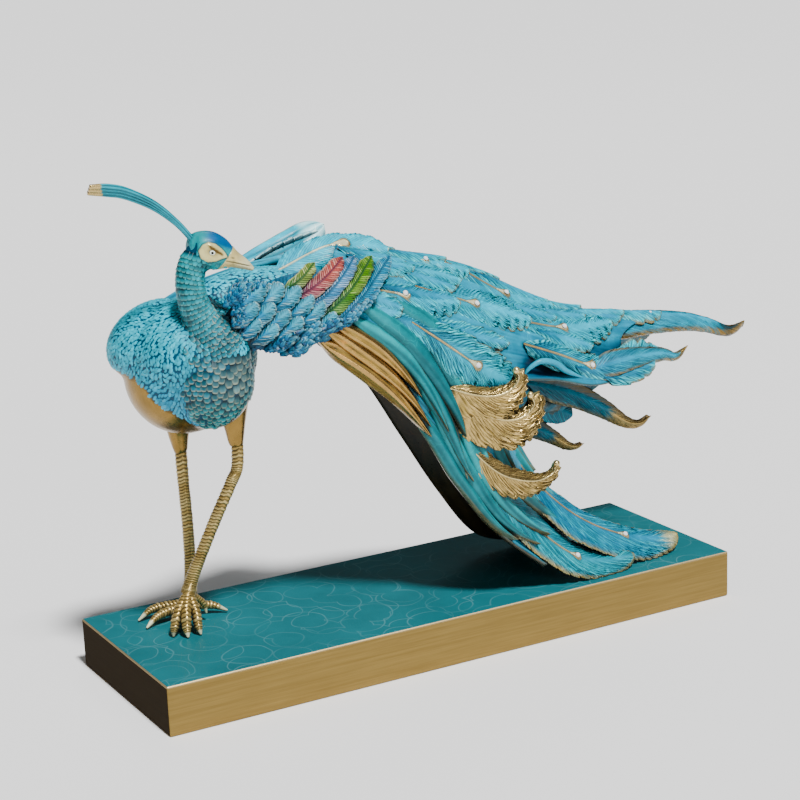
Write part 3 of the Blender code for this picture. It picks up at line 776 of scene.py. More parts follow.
def body_mesh():
    """The body's masses melted together: a remeshed and smoothed skin, as a mesh in millimetres."""
    parts = Surface()
    facing = (-0.66, -0.75, 0.0)
    rings = [
        ball((-174, 11, 192), (46, 42, 44), facing),
        ball((-169, 4, 204), (47, 44.5, 42), facing),
        ball((-166, -15, 191), (33, 31, 36), facing),
        ball((-191, 22, 216), (35, 32, 25), (-0.85, 0.10, -0.45)),
        tube_rings(BACK, 40, 40),
        tube_rings(NECK, 60, 32, NECK_ACROSS),
        tube_rings(HEAD, 50, 32),
        *(tube_rings(thigh, 20, 32) for thigh in THIGHS),
    ]
    for ring in rings:
        parts.tube(ring, np.zeros(ring.shape[:2] + (4,)))
    mesh = bpy.data.meshes.new("body_skin")
    mesh.from_pydata(np.concatenate(parts.points).tolist(), [], np.concatenate(parts.faces).tolist())
    body = placed("body_skin", mesh)
    melt = body.modifiers.new("melt", "REMESH")
    melt.mode = "VOXEL"
    melt.voxel_size = SKIN_VOXEL
    relax = body.modifiers.new("relax", "SMOOTH")
    relax.factor, relax.iterations = 0.5, 10
    graph = bpy.context.evaluated_depsgraph_get()
    skin = bpy.data.meshes.new_from_object(body.evaluated_get(graph))
    bpy.data.objects.remove(body)
    return skin


def mesh_arrays(mesh):
    points = np.empty(len(mesh.vertices) * 3)
    mesh.vertices.foreach_get("co", points)
    normals = np.empty(len(mesh.vertices) * 3)
    mesh.vertices.foreach_get("normal", normals)
    return points.reshape(-1, 3), normals.reshape(-1, 3)


def cover_line(points):
    """How far a point is above the lower edge of the breast's plumage. Below it the belly is gold."""
    sideways = points[:, :2] @ SHOW_ACROSS
    depth = points[:, :2] @ SHOW_OUT
    edge = np.interp(sideways, (-211, -197, -186, -180, -175.5, -165, -156, -147, -134, -126, -115, -110),
                     (201, 197, 196, 192, 184.5, 175.5, 168.5, 161, 157.5, 161, 168.5, 176))
    edge = edge + 0.8 * np.sin(sideways / 1.3) + np.minimum(0.25 * np.maximum(75 - depth, 0), 20)
    return points[:, 2] - edge


def body():
    skin = body_mesh()
    points, normals = mesh_arrays(skin)
    flat = [tuple(face.vertices) for face in skin.polygons]
    quads = np.array([f if len(f) == 4 else (*f, f[-1]) for f in flat])
    tree = BVHTree.FromPolygons(points.tolist(), flat)
    above = cover_line(points)
    gold = smooth(0.8, -0.8, above)
    colour = mix(rgb(0x053A50), rgb(0x8A6D3A), gold)
    # Painted shade on the gold belly, just under the edge of the breast's plumage
    colour = colour * (1 - 0.6 * smooth(-3.0, -0.5, above) * gold)[..., None]
    surface = Surface()
    surface.add(points, quads, painted(colour, gold * 0.9))
    return surface, tree, normals


def lay_scales(surface, spots, normals, direction, size, wide, lift, colours, tips, pointed=0.0, rows=7,
               columns=7, lines=0.0, rim=None, shadow=1.0):
    """Scales at the spots, each size long and wide across, with its free end towards direction."""
    count = len(spots)
    if not count:
        return
    size, wide, lift = (np.broadcast_to(np.asarray(x, float), (count,)) for x in (size, wide, lift))
    forward = unit(direction - normals * (direction * normals).sum(-1, keepdims=True))
    side = np.cross(forward, normals)
    v = np.concatenate([np.linspace(0, 0.93, rows - 1), [1.0]])[:, None]
    u = np.linspace(-1, 1, columns)[None, :]
    outline = np.sqrt(np.clip(1 - np.maximum((v - 0.45) / 0.56, 0) ** 2.4, 0, 1))
    outline = outline * (0.7 + 0.3 * np.minimum(v / 0.4, 1)) * (1 - pointed * np.maximum(v - 0.4, 0))
    along = (v - 0.35) * np.ones_like(u)
    across = u * outline
    edge = np.maximum(np.abs(u) > 0.99, v > 0.99) * 1.0
    rise = (0.10 + 0.90 * v) * (1 - 0.22 * u**2) - 1.5 * edge
    place = (
        spots[:, None, None]
        + forward[:, None, None] * (along[None] * size[:, None, None])[..., None]
        + side[:, None, None] * (across[None] * wide[:, None, None] / 2)[..., None]
        + normals[:, None, None] * (rise[None] * lift[:, None, None])[..., None]
    )
    # Painted highlight: lighter towards the free end and along the crowned middle
    light = smooth(0.15, 0.75, v) * (1 - 0.5 * u**2)
    colour = mix(colours[:, None, None], tips[:, None, None], light[None])
    streak = 0.5 + 0.5 * np.cos(u * math.pi * 3)
    colour = colour * (1 - lines * streak * smooth(0.2, 0.5, v))[None, ..., None]
    if rim is not None:
        # A pale rim on the free end and the sides: partly the scales' own edging, partly painted highlight
        rim_and_highlight = np.maximum(smooth(0.76, 0.90, v), smooth(0.55, 0.85, np.abs(u)) * smooth(0.3, 0.8, v))
        colour = mix(colour, rim, 0.6 * (rim_and_highlight * (1 - edge))[None])
    # Painted shade, as much as shadow says: darker at each scale's root and on its dropped edges
    root = 0.55 * (1 - smooth(0.0, 0.35, v)) * (1 - edge)
    colour = colour * (1 - shadow * (0.80 * edge + root))[None, ..., None]
    index = np.arange(rows * columns).reshape(rows, columns)
    quads = np.stack([index[:-1, :-1], index[:-1, 1:], index[1:, 1:], index[1:, :-1]],
                     axis=-1).reshape(-1, 4)
    faces = (quads[None] + (np.arange(count) * rows * columns)[:, None, None]).reshape(-1, 4)
    surface.add(place, faces, painted(colour, 0))


def neck_and_breast(surface, tree, points, normals):
    """Rows of scales down the neck, and round overlapping scales over the breast."""
    axis = np.array([(-175, -27, 280), (-180, -27, 266), (-181, -27, 256), (-178, -27, 244),
                     (-170, -28, 230), (-163, -26, 218)],
                    float)
    shares = np.linspace(0, 1, 400)
    distance = walk(spline(axis, shares))
    at, row, wide = 0.0, 0, 3.7
    while at < distance[-1]:
        share = np.interp(at, distance, shares)
        centre = spline(axis, np.array([share]))[0]
        forward = unit(spline(axis, np.array([share + 0.01])) - spline(axis, np.array([share - 0.01])))[0]
        side = unit(np.cross(forward, NECK_ACROSS))
        up = np.cross(side, forward)
        turns = np.linspace(0, 2 * math.pi, 20 + int(14 * share**2), endpoint=False) + 0.155 * (row % 2)
        hits = [tree.ray_cast(Vector(centre), Vector(side * math.cos(a) + up * math.sin(a))) for a in turns]
        hits = [hit for hit in hits if hit[0] is not None and hit[3] < 26]
        spots, out = np.array([hit[0] for hit in hits]), np.array([hit[1] for hit in hits])
        shade = RANDOM.random(len(spots))[:, None]
        direction = forward + RANDOM.normal(0, 0.05, spots.shape)
        tips = mix(rgb(0x1A808C), rgb(0x3A7284), share)
        rim = mix(rgb(0x8CCBCC), rgb(0xB4BDB8), share)
        lay_scales(surface, spots, out, direction, wide * 1.6, wide * 1.35, 0.9,
                   rgb(0x042F3C) * (0.6 + 0.7 * shade), tips * (0.5 + 0.9 * shade), rim=rim * 0.8)
        at += wide * 0.84
        row += 1
    keep = on_breast(points) & (cover_line(points) > 1.0)
    middle = np.array((-157, -46, 196))
    central = np.exp(-(((points - middle) / 19) ** 2).sum(-1))
    low = smooth(190, 172, points[:, 2])
    spacing = 3.1 + 1.5 * central - 0.3 * low
    chosen = scatter(points, spacing, keep)
    spots, out, central, low = points[chosen], normals[chosen], central[chosen], low[chosen]
    direction = unit(spots - np.array([-166, -26, 232])) * 0.7 + np.array([0, 0, -0.55])
    direction = direction + RANDOM.normal(0, 0.10, spots.shape)
    shade = RANDOM.random(len(spots))[:, None]
    base = mix(rgb(0x14414F), rgb(0x2A3F4A), central) * (0.6 + 0.6 * shade)
    tips = mix(rgb(0x2F6274), rgb(0x1D7680), low)
    tips = mix(tips, rgb(0x66716E), 0.75 * central) * (0.5 + 1.0 * shade)
    reach = spacing[chosen]
    lay_scales(surface, spots, out, direction, reach * 1.75, reach * 1.9, 0.75, base, tips, lines=0.2,
               rim=rgb(0xC8C6B6) * 0.9)


def scatter(points, spacing, keep):
    """Indices of points that stand at least spacing apart, picked in random order."""
    order = RANDOM.permutation(np.nonzero(keep)[0])
    taken, grid = [], {}
    cell = float(np.max(spacing))
    for i in order:
        p = points[i]
        key = tuple((p // cell).astype(int))
        near = [j for dx in (-1, 0, 1) for dy in (-1, 0, 1) for dz in (-1, 0, 1)
                for j in grid.get((key[0] + dx, key[1] + dy, key[2] + dz), ())]
        if all(((points[j] - p) ** 2).sum() > spacing[i] ** 2 for j in near):
            grid.setdefault(key, []).append(i)
            taken.append(i)
    return np.array(taken)


def mantle(surface, points, normals):
    """Fine tufts over the shoulders, the flanks and the back."""
    x, _, z = points.T
    from_neck = points - np.array([-168, -26, 222])
    keep = (cover_line(points) > 0.8) & (z < 268) & ~on_breast(points) & (x < -50) & (z > 160)
    keep &= np.linalg.norm(from_neck, axis=1) > 14
    seen = (points[:, :2] @ SHOW_OUT > 20) | (x < -150)
    spacing = np.where(seen, 2.15, 3.9)
    chosen = scatter(points, spacing, keep)
    spots, out = points[chosen], normals[chosen]
    to_train = smooth(-150, -110, spots[:, 0])
    flow = unit(from_neck[chosen]) * 0.6 + np.array([-0.25, 0.1, -0.75])
    direction = mix(flow, np.array([1.0, 0.0, 0.15]), to_train)
    swirl = 0.9 * np.sin(spots / 7.0)[:, [1, 2, 0]]
    direction = direction + 0.5 * swirl + RANDOM.normal(0, 0.35, direction.shape)
    shade = RANDOM.random(len(spots))[:, None]
    high = smooth(170, 225, spots[:, 2])
    first = np.sin(spots @ np.array((0.21, 0.17, 0.13)))
    second = np.sin(spots @ np.array((-0.11, 0.19, 0.23)))
    patchy = 0.5 + 0.5 * first * second
    base = mix(rgb(0x1B7496), rgb(0x1698B4), high) * (0.8 + 0.4 * shade)
    tips = mix(rgb(0x3F8CAE), rgb(0x3EB2C8), high) * (0.75 + 0.5 * shade)
    tips = mix(tips, rgb(0xA9CCDC), 0.30 * (shade[:, 0] > 0.75 - 0.25 * patchy))
    # Painted shadow: dark blue where the neck meets the body
    crease = np.exp(-(((spots - np.array((-176, -24, 210))) / 15) ** 2).sum(-1))
    base, tips = mix(base, rgb(0x041A34), 0.85 * crease), mix(tips, rgb(0x0C3054), 0.85 * crease)
    size = np.where(seen[chosen], 3.9, 8.0) * (0.8 + 0.5 * RANDOM.random(len(spots)))
    lay_scales(surface, spots, out, direction, size, size * 1.05, 0.45, base, tips, pointed=0.2, rows=4,
               columns=4, shadow=0.30)


def inside_outline(a, b, outline):
    """Signed distance from points (a, b) to a closed outline: positive inside."""
    outline = np.asarray(outline, float)
    nearest = np.full(a.shape, 1e9)
    crossings = np.zeros(a.shape, int)
    for (x0, y0), (x1, y1) in zip(outline, np.roll(outline, -1, axis=0)):
        along = (a - x0) * (x1 - x0) + (b - y0) * (y1 - y0)
        share = np.clip(along / ((x1 - x0) ** 2 + (y1 - y0) ** 2), 0, 1)
        nearest = np.minimum(nearest, np.hypot(a - x0 - share * (x1 - x0), b - y0 - share * (y1 - y0)))
        crosses = (y0 > b) != (y1 > b)
        if y1 != y0:
            crossings += crosses & (a < x0 + (b - y0) * (x1 - x0) / (y1 - y0))
    return np.where(crossings % 2 == 1, nearest, -nearest)


EYE_PATCH = ((-6.0, 2.8), (-3.0, 5.8), (2.0, 6.6), (7.0, 5.2), (11.0, 3.2), (13.6, 1.0), (10.0, -1.0),
             (6.5, -4.2), (1.5, -6.6), (-3.6, -6.0), (-7.0, -1.8))
HEAD_MIDDLE = np.array((-168, -29, 284.0))


def head():
    """A glossy head with a cream patch round each eye, a frown over it, and a gilded beak."""
    surface = Surface()
    axis = unit(np.array((37.5, -11.0, -19.0)))
    up = unit(np.array((0, 0, 1.0)) - axis * axis[2])
    near = np.cross(axis, up)
    rings = tube_rings(HEAD, 150, 110)
    centre = spline(HEAD, np.linspace(0, 1, 150))[:, None, :3]
    out = unit(rings - centre)
    a = (rings - HEAD_MIDDLE) @ axis
    b = (rings - HEAD_MIDDLE) @ up
    c = (rings - HEAD_MIDDLE) @ near
    patch = inside_outline(a, b, EYE_PATCH)
    patch = np.where(np.abs(c) > 3, patch, -9)
    beak_start = 13.6 + 0.25 * b - 0.12 * (np.abs(b) < 2.0)
    beak = smooth(-0.25, 0.25, a - beak_start)
    frown = np.exp(-(((b - 3.6 + 0.10 * (a - 2)) / 1.0) ** 2)) * smooth(-5, 0, a) * smooth(11, 7, a)
    socket = np.exp(-(((a - 2) / 4.2) ** 2) - ((b - 0.6) / 2.6) ** 2)
    mouth = np.exp(-(((b + 0.6 - 0.12 * (a - 22)) / 0.35) ** 2)) * smooth(12.5, 14.5, a) * smooth(33, 30, a)
    nostril = np.exp(-(((a - 17.4) / 1.4) ** 2) - ((b - 1.8) / 0.5) ** 2)
    height = 0.45 * smooth(-0.3, 0.3, patch) + 1.0 * frown - 1.3 * socket
    height = height + 0.35 * beak - 0.7 * mouth - 0.4 * nostril
    height = height - 0.35 * np.exp(-((patch + 0.5) / 0.4) ** 2)
    height = height - 0.30 * np.exp(-((a - beak_start + 0.5) / 0.4) ** 2)
    colour = mix(rgb(0x2A7F88), rgb(0x07507A), smooth(4.5, 8.5, b) * smooth(-9, -1, a))
    colour = mix(colour, rgb(0x1D8FA0), smooth(0, -5, b) * smooth(6, 0, a))
    # Painted shade: brown in the eye socket and under the frown
    brow_shadow = np.exp(-(((b - 3.0 + 0.20 * (a - 2)) / 0.75) ** 2)) * smooth(-4, 0, a) * smooth(11, 8, a)
    skin = mix(rgb(0xD8C89A), rgb(0x5C4626), np.clip(socket * 0.9 + brow_shadow * 1.4, 0, 1))
    on_patch = smooth(-0.25, 0.25, patch)
    colour = mix(colour, skin, on_patch)
    # Darker in the mouth's line and in the nostrils
    dark_at_mouth_and_nostril = 1 - 0.75 * np.maximum(mouth, nostril)
    horn = mix(rgb(0xCBB68A), rgb(0xE4D8B8), smooth(18, 30, a)) * dark_at_mouth_and_nostril[..., None]
    colour = mix(colour, horn, beak)
    colour = colour * (1 - 0.7 * np.exp(-((patch + 0.45) / 0.35) ** 2))[..., None]
    gilt = np.maximum(0.25 * on_patch, 0.30 * beak)
    surface.tube(rings + out * (height + 0.25)[..., None], painted(colour, gilt))
    for side in (1, -1):
        middle = HEAD_MIDDLE + axis * 2.0 + up * 0.5 + near * side * 10.6
        eyeball = ball(middle, (2.5, 2.5, 2.3), near * side, rows=28, sides=36)
        facing = (eyeball - middle) @ (near * side)
        off = np.sqrt(np.maximum(2.5**2 - facing**2, 0)) * (facing > 0) + 9 * (facing <= 0)
        white = rgb(0xF2F0EA) * (1 - 0.85 * smooth(1.95, 2.25, off))[..., None]
        colour = mix(white, rgb(0x050505), smooth(1.05, 0.90, off))
        surface.tube(eyeball, painted(colour, 0))
    return surface


# Legs and feet

NEAR_SHIN = ((-141, 0, 148, 4.6), (-142, 0, 120, 4.2), (-147, 2, 107, 4.2), (-158, 7, 82, 4.2),
             (-168, 11.5, 58, 4.3), (-176, 15, 38, 4.6), (-180, 16, 26, 5.6))
FAR_SHIN = ((-171, 34, 140, 4.6), (-170, 35, 105, 4.2), (-169, 35, 75, 4.1), (-168.5, 36, 45, 4.2),
            (-169, 37, 25, 4.6), (-170, 37, 10, 5.4))
NEAR_ANKLE, FAR_ANKLE = (-180, 16, 25), (-170, 37, 9)
TOES = (
    (NEAR_ANKLE, (-191, 9, 17), (-197, 5, 6), (-199, 3, 0.5), 3.6),
    (NEAR_ANKLE, (-187, 5, 17), (-190, -1, 6), (-191, -5, 0.5), 3.8),
    (NEAR_ANKLE, (-180, 5, 16), (-181, -1, 6), (-181, -5, 0.5), 3.6),
    (NEAR_ANKLE, (-173, 19, 20), (-167, 20, 14), (-165, 20, 6), 2.6),
    (FAR_ANKLE, (-182, 43, 9), (-196, 48, 7), (-208, 47, 1), 3.4),
    (FAR_ANKLE, (-184, 36, 8), (-198, 34, 6), (-209, 29, 1), 3.4),
    (FAR_ANKLE, (-180, 27, 8), (-189, 18, 6), (-196, 12, 1), 3.3),
    (FAR_ANKLE, (-162, 35, 7), (-154, 32, 6), (-145, 27, 1.5), 3.2),
)


def banded(surface, path, pitch, sides, depth, claw=False):
    """A limb covered in horny rings, like a bird's shin or toe."""
    path = np.asarray(path, float)
    length = np.linalg.norm(np.diff(spline(path, np.linspace(0, 1, 60))[:, :3], axis=0), axis=1).sum()
    rows = int(length / 0.45)
    rings = tube_rings(path, rows, sides)
    t = np.linspace(0, 1, rows)[:, None]
    a = np.linspace(0, 2 * math.pi, sides, endpoint=False)[None, :]
    band = t * length / pitch + 0.22 * np.sin(2 * a) + 0.5 * smooth(0.4, 0.6, np.abs(np.sin(a / 2 + 0.8)))
    band = band + 0.25 * np.sin(t * length / 5.0)
    ridge = barb_ridge(band)
    chance = hashed(np.floor(band), 3.0)
    nail = smooth(0.80, 0.86, t) if claw else 0 * t
    centre = spline(path, t[:, 0])[:, None, :3]
    grow = 1 + depth * (ridge - 0.6 + 0.5 * (chance - 0.5)) * (1 - nail)
    points = centre + (rings - centre) * grow[..., None]
    colour = mix(rgb(0x2A1C0A), mix(rgb(0x9A7F4E), rgb(0xC4AC7A), chance), smooth(0.2, 0.85, ridge))
    colour = mix(colour, rgb(0xC8C2AC), nail)
    surface.tube(points, painted(colour, 0.55 * (1 - nail)))


def legs():
    surface = Surface()
    for shin in (NEAR_SHIN, FAR_SHIN):
        banded(surface, shin, 2.1, 24, 0.15)
    for root, knuckle, joint, claw, radius in TOES:
        path = [(*root, radius * 1.1), (*knuckle, radius), (*joint, radius * 0.85), (*claw, 0.8)]
        banded(surface, path, 2.4, 20, 0.18, claw=True)
    return surface


def crest():
    """Three fluted plumes, side by side, with gilded ends."""
    surface = Surface()
    for spread in (-1.0, 0.0, 1.0):
        path = np.array([
            (-176, -27, 290, 2.2),
            (-188, -26.5 + spread * 0.6, 304.5 - spread * 0.8, 1.8),
            (-204, -27 + spread * 1.4, 318.0 - spread * 1.6, 2.0),
            (-223, -28 + spread * 2.0, 328.0 - spread * 2.1, 2.3),
            (-236, -28 + spread * 2.2, 331.6 - spread * 2.3, 2.5),
            (-248.7, -28 + spread * 2.2, 333.2 - spread * 2.2, 1.7),
        ])
        rings = tube_rings(path, 90, 24)
        t = np.linspace(0, 1, 90)[:, None]
        a = np.linspace(0, 2 * math.pi, 24, endpoint=False)[None, :]
        flute = barb_ridge(a / (2 * math.pi) * 6 + 0.6 * t)
        centre = spline(path, t[:, 0])[:, None, :3]
        points = centre + (rings - centre) * (1 - 0.16 * (1 - flute))[..., None]
        # Painted highlight and shade: lighter on the flutes' ridges, darker in their grooves
        colour = mix(rgb(0x07485A), rgb(0x3A9DB0), flute * 0.8) * (0.35 + 0.65 * flute)[..., None]
        gilt = smooth(0.86, 0.88, t + 0.02 * spread) * np.ones_like(a)
        colour = mix(colour, rgb(0xC2A874), gilt)
        surface.tube(points, painted(colour, gilt * 0.8))
    return surface


# Wings

OUTWARD = np.array((-0.25, -0.88, 0.35))


def quill_style(root, tip, light, **more):
    return Style(root=root, tip=tip, light=light, shine=0.75, pitch=2.2, cot=1.1, relief=0.9, thick=2.6,
                 crown=2.2, ragged=0.08, split=0.14, tuft=4.0, shingle=0.5, shaft=0.35,
                 shaft_colour=tuple(np.asarray(root) * 0.35), shaft_gilt=0.0, rim=0.7, rim_from=0.0,
                 rim_colour=tuple(np.asarray(light) * 0.8), rim_gilt=0.0, dark=0.85, **more)


def near_wing():
    """The folded wing on the show side: tiled coverts over a plain core, and five coloured quills."""
    surface = Surface()
    plain = Style(**SMOOTH_EDGED, root=rgb(0x043A56), tip=rgb(0x065A76), light=TURQUOISE, thick=4.0,
                  crown=8.0, relief=0.3, rim=0.0, shaft=0.0)
    core = ((-160, -24, 230), (-130, -33, 232), (-100, -38, 236), (-70, -33, 242), (-38, -18, 254))
    feather(surface, core, OUTWARD, 26, plain, profile=lambda v: np.sin(math.pi * (0.16 + 0.76 * v)),
            step=1.2)
    quills = (
        (((-89, -48, 221), (-82, -52, 226), (-72, -54, 234), (-58, -49, 242), (-43, -39, 251),
          (-25, -26, 261)), 6.8,
         quill_style(rgb(0x14739C), rgb(0x2F7FA2), rgb(0xA8CEDC))),
        (((-96, -48, 228), (-89, -51, 233), (-78, -52, 241), (-66, -48, 249), (-54, -40, 257),
          (-42, -29, 263)), 6.8,
         quill_style(rgb(0x1F5C34), rgb(0x4C7424), rgb(0xC6CF8C))),
        (((-107, -48, 239), (-94, -51, 243), (-82, -50, 251), (-70, -44, 259), (-59, -35, 266)), 6.6,
         quill_style(rgb(0x1F729E), rgb(0x5C86AE), rgb(0xD2DCEC))),
        (((-110, -48, 246), (-96, -51, 254), (-83, -47, 261), (-70, -38, 267)), 6.8,
         quill_style(rgb(0x7E3F5C), rgb(0xA85A58), rgb(0xEFCFC4))),
        (((-119, -45, 251), (-107, -48, 259), (-94, -42, 267)), 5.4,
         quill_style(rgb(0x24683C), rgb(0x77884E), rgb(0xE0DFB2))),
    )
    for i, (spine, half, style) in enumerate(quills):
        feather(surface, spine, OUTWARD, half, style, seed=i + 0.3, profile=blunt_tip, step=0.45, lean=0.45)
    large = Style(root=rgb(0x053E60), tip=rgb(0x1B7FA6), light=rgb(0xE4ECE6), shine=0.95, pitch=1.9,
                  cot=1.7, relief=0.8, thick=3.8, crown=1.8, ragged=0.08, split=0.20, tuft=3.4,
                  shingle=0.7, shaft=0.0, rim=0.8, rim_from=0.55, rim_colour=rgb(0xBCCBCB), rim_gilt=0.0,
                  dark=0.8, tip_colour=rgb(0x5E9DB6), tip_from=0.60, bare=0.0)
    rows = (
        (((-161, -38, 246), (-144, -42, 259)), ((-157, -41, 240), (-134, -46, 258)),
         ((-146, -43, 238), (-121, -47, 256)), ((-136, -44, 234), (-109, -49, 253)),
         ((-126, -45, 227), (-100, -50, 246)), ((-116, -46, 221), (-92, -51, 241)),
         ((-106, -47, 216), (-84, -52, 232))),
        (((-158, -40, 230), (-141, -46, 246)), ((-149, -43, 228), (-129, -48, 244)),
         ((-139, -44, 224), (-118, -49, 238)), ((-130, -45, 217), (-109, -50, 232)),
         ((-120, -46, 212), (-97, -50, 226))),
        (((-154, -38, 221), (-139, -46, 234)), ((-144, -41, 217), (-127, -48, 229)),
         ((-133, -43, 212), (-115, -49, 222)), ((-122, -44, 208), (-103, -50, 217))),
    )
    for k, row in enumerate(rows):
        for i, (root, tip) in enumerate(row):
            root, tip = np.array(root, float), np.array(tip, float)
            middle = (root + tip) / 2 + OUTWARD * 1.2
            feather(surface, (root - OUTWARD * 2.4, middle, tip + OUTWARD * (2.6 - 0.3 * k)), OUTWARD,
                    (8.2, 7.6, 7.0)[k], large, seed=i * 1.7 + k, step=0.42, profile=covert_tip)
    return surface


def wing_plumage(tree_of_wing):
    """Small soft scales on the wing's upper left and along its lower edge."""
    surface = Surface()
    spots, normals, size, pale = [], [], [], []
    for _ in range(5000):
        x = -170 + 122 * RANDOM.random()
        z = 200 + 70 * RANDOM.random()
        low = z < 0.40 * (x + 150) + 209 if x < -100 else z < 0.38 * (x + 100) + 223
        high = z > 0.60 * (x + 160) + 244 or x < -149
        if not (low or high):
            continue
        hit = tree_of_wing.ray_cast(Vector((x, -110.0, z)), Vector((0, 1, 0)))
        if hit[0] is None or hit[0][1] > -2:
            continue
        if any((hit[0][0] - p[0]) ** 2 + (hit[0][2] - p[2]) ** 2 < (4.2 if low else 2.2) for p in spots):
            continue
        spots.append(tuple(hit[0]))
        normals.append(tuple(hit[1]))
        size.append(4.9 if low else 3.3)
        pale.append(RANDOM.random())
    spots, normals, pale = np.array(spots), np.array(normals), np.array(pale)[:, None]
    normals = unit(normals + 0.8 * OUTWARD)
    along = np.array((0.80, 0.05, 0.55)) + RANDOM.normal(0, 0.25, spots.shape)
    base = mix(rgb(0x053A5C), rgb(0x0C668E), pale[:, 0])
    tips = mix(rgb(0x0E6C94), rgb(0x6D9DB6), pale[:, 0])
    lay_scales(surface, spots, normals, along, np.array(size) * 1.4, np.array(size) * 0.95, 0.5, base,
               tips, rim=rgb(0x8FB4C4), lines=0.6)
    return surface


def far_wing():
    """The raised wing behind: four broad feathers towards the show side, and plain quills behind."""
    surface = Surface()
    outward = np.array((-0.1, 0.75, 0.6))
    front = np.array((-0.25, -0.80, 0.55))
    plain = Style(**SMOOTH_EDGED, root=rgb(0x0680A0), tip=rgb(0x0AA4C2), light=TURQUOISE, thick=7.0,
                  crown=7.0, relief=0.6, rim=0.0, shaft=0.0, flutes=6)
    core = ((-200, 30, 222), (-160, 38, 234), (-115, 42, 243), (-78, 42, 250), (-48, 42, 260))
    feather(surface, core, outward, 24, plain, profile=lambda v: np.sin(math.pi * (0.2 + 0.70 * v)),
            step=0.8)
    finger = dict(**SMOOTH_EDGED, root=rgb(0x0A9CC0), tip=rgb(0x22B4D2), light=rgb(0xD8F0F6), shine=0.7,
                  relief=0.9, flutes=3, thick=2.6, crown=3.0, rim=1.2, rim_from=0.30,
                  rim_colour=rgb(0xDDEEF4), rim_gilt=0.0, dark=0.7, shaft_colour=CREAM, shaft_gilt=0.0,
                  tip_colour=rgb(0xC2DFEA), tip_from=0.76)
    plain_finger = Style(**finger, shaft=0.0)
    eyed = Style(**finger | dict(tip_from=0.80, eye_size=4.2, shaft=0.45))
    for i, (spine, half, style, eye) in enumerate((
        (((-128, 36, 240), (-100, 42, 253), (-76, 45, 262), (-54, 46, 270), (-40, 46, 276)), 13.0,
         plain_finger, None),
        (((-122, 26, 236), (-96, 28, 241), (-72, 31, 246), (-48, 34, 251)), 9.0, plain_finger, None),
        (((-124, 30, 238), (-98, 33, 246), (-72, 37, 254), (-44, 40, 263)), 10.0, plain_finger, None),
        (((-132, 32, 238), (-104, 38, 248), (-78, 42, 256), (-54, 44, 264)), 10.0, eyed, 0.56),
    )):
        feather(surface, spine, front, half, style, seed=2.0 + i, profile=blunt_tip, step=0.5,
                eye=eye)
    quill = quill_style(rgb(0x1B7CA2), rgb(0x4FA0BE), WHITE_BLUE)
    for i, share in enumerate(np.linspace(0, 1, 5)):
        ends = (((-135, 38, 243), (-140, 52, 218)), ((-106, 44, 253), (-104, 56, 222)),
                ((-80, 47, 263), (-66, 54, 230)), ((-44, 46, 273), (-26, 44, 246)))
        spine = [np.array(a) * (1 - share) + np.array(b) * share for a, b in ends]
        feather(surface, spine, outward, 8.0, quill, seed=i + 10.0, step=1.1)
    return surface


# The train

def train_paint(pitch_count, gold, hollow):
    """Paint for the outer face of a sheet between its feathers, darker in the strands' grooves as painted
    shade. hollow(s, t) is 1 where it is deep blue.
    """
    def paint(s, t):
        ridge, chance = flowing_strands(s, t, pitch_count, 1.5, 1.0)
        colour = mix(rgb(0x04708C), rgb(0x068EAA), chance)
        colour = colour * (0.7 + 0.3 * ridge)[..., None]
        gilt = gold * smooth(0.88, 0.93, chance) * smooth(0.2, 0.6, ridge)
        colour = mix(colour, BRONZE, gilt)
        # Deep blue where hollow is 1: on the upper sheet that is painted shade in its folds and hollow, as
        # deep as they sink
        colour = mix(colour, rgb(0x022E4C) * (0.6 + 0.4 * ridge)[..., None], hollow(s, t))
        edge = smooth(0.02, 0.0, t) + smooth(0.98, 1.0, t) + smooth(0.985, 1.0, s)
        return painted(mix(colour, GOLD_DARK, np.clip(edge, 0, 1) * 0.8),
                       np.clip(gilt * 0.8 + edge * 0.4, 0, 1))
    return paint


def upper_inside(s, t):
    ridge, chance = flowing_strands(s, t, 30, 1.5, 4.0)
    colour = mix(rgb(0x065468), rgb(0x0B7F96), chance * ridge) * (0.5 + 0.5 * ridge)[..., None]
    return painted(colour, 0)


def lower_inside(s, t):
    ridge, chance = flowing_strands(s, t, 30, 1.5, 6.0)
    # Dark umber inside the fall: partly its own paint, partly painted shade under the train
    colour = mix(UMBER, rgb(0x2C2417), chance * ridge)
    return painted(colour, 0)


def upper_train():
    """The upper sheet with its folds, and low plain feathers all over it."""
    surface = Surface()

    def relief(s, t):
        ridge, chance = flowing_strands(s, t, 46, 1.5, 1.0)
        return 0.5 * ridge * (0.5 + chance) - upper_folds(s, t)

    # The folds are painted deep blue as shade, the more the deeper they sink
    sheet(surface, UPPER_RIBS, 1.4, relief,
          train_paint(46, 0.3, lambda s, t: np.clip(upper_folds(s, t) / 4, 0, 1)), upper_inside, bay=0.13)
    spots = [stone_spot(number) for number in range(1, 9)]
    for i, s in enumerate(np.linspace(0.0, 0.80, 7)):
        for k in range(9):
            t = 0.06 + 0.115 * (k + 0.5 * (i % 2))
            if t > 0.98 or (0.38 < s + 0.1 < 0.74 and t < 0.26) or (s > 0.6 and 0.2 < t < 0.45):
                continue
            seed = i * 9 + k + 0.4
            style = Style(**BROAD | dict(tip=mix(rgb(0x0592B0), rgb(0x036E8C), 0.7 * hashed(seed)),
                                         lift=2.4, shaft=0.0))
            drift = 0.05 * math.sin(seed * 3.1) + (0.03 if s < 0.5 else 0.0)
            path = ((s, t), (s + 0.11, t + drift / 2), (s + 0.20, t + drift))
            places = on_sheet(UPPER_RIBS, *np.array(path).T)
            if any(np.linalg.norm(places - spot, axis=1).min() < STONE_CLEARANCE for spot in spots):
                continue
            sheet_feather(surface, UPPER_RIBS, path, 10.0, style, seed=seed,
                          step=1.5 if t > 0.6 else 1.0)
    return surface


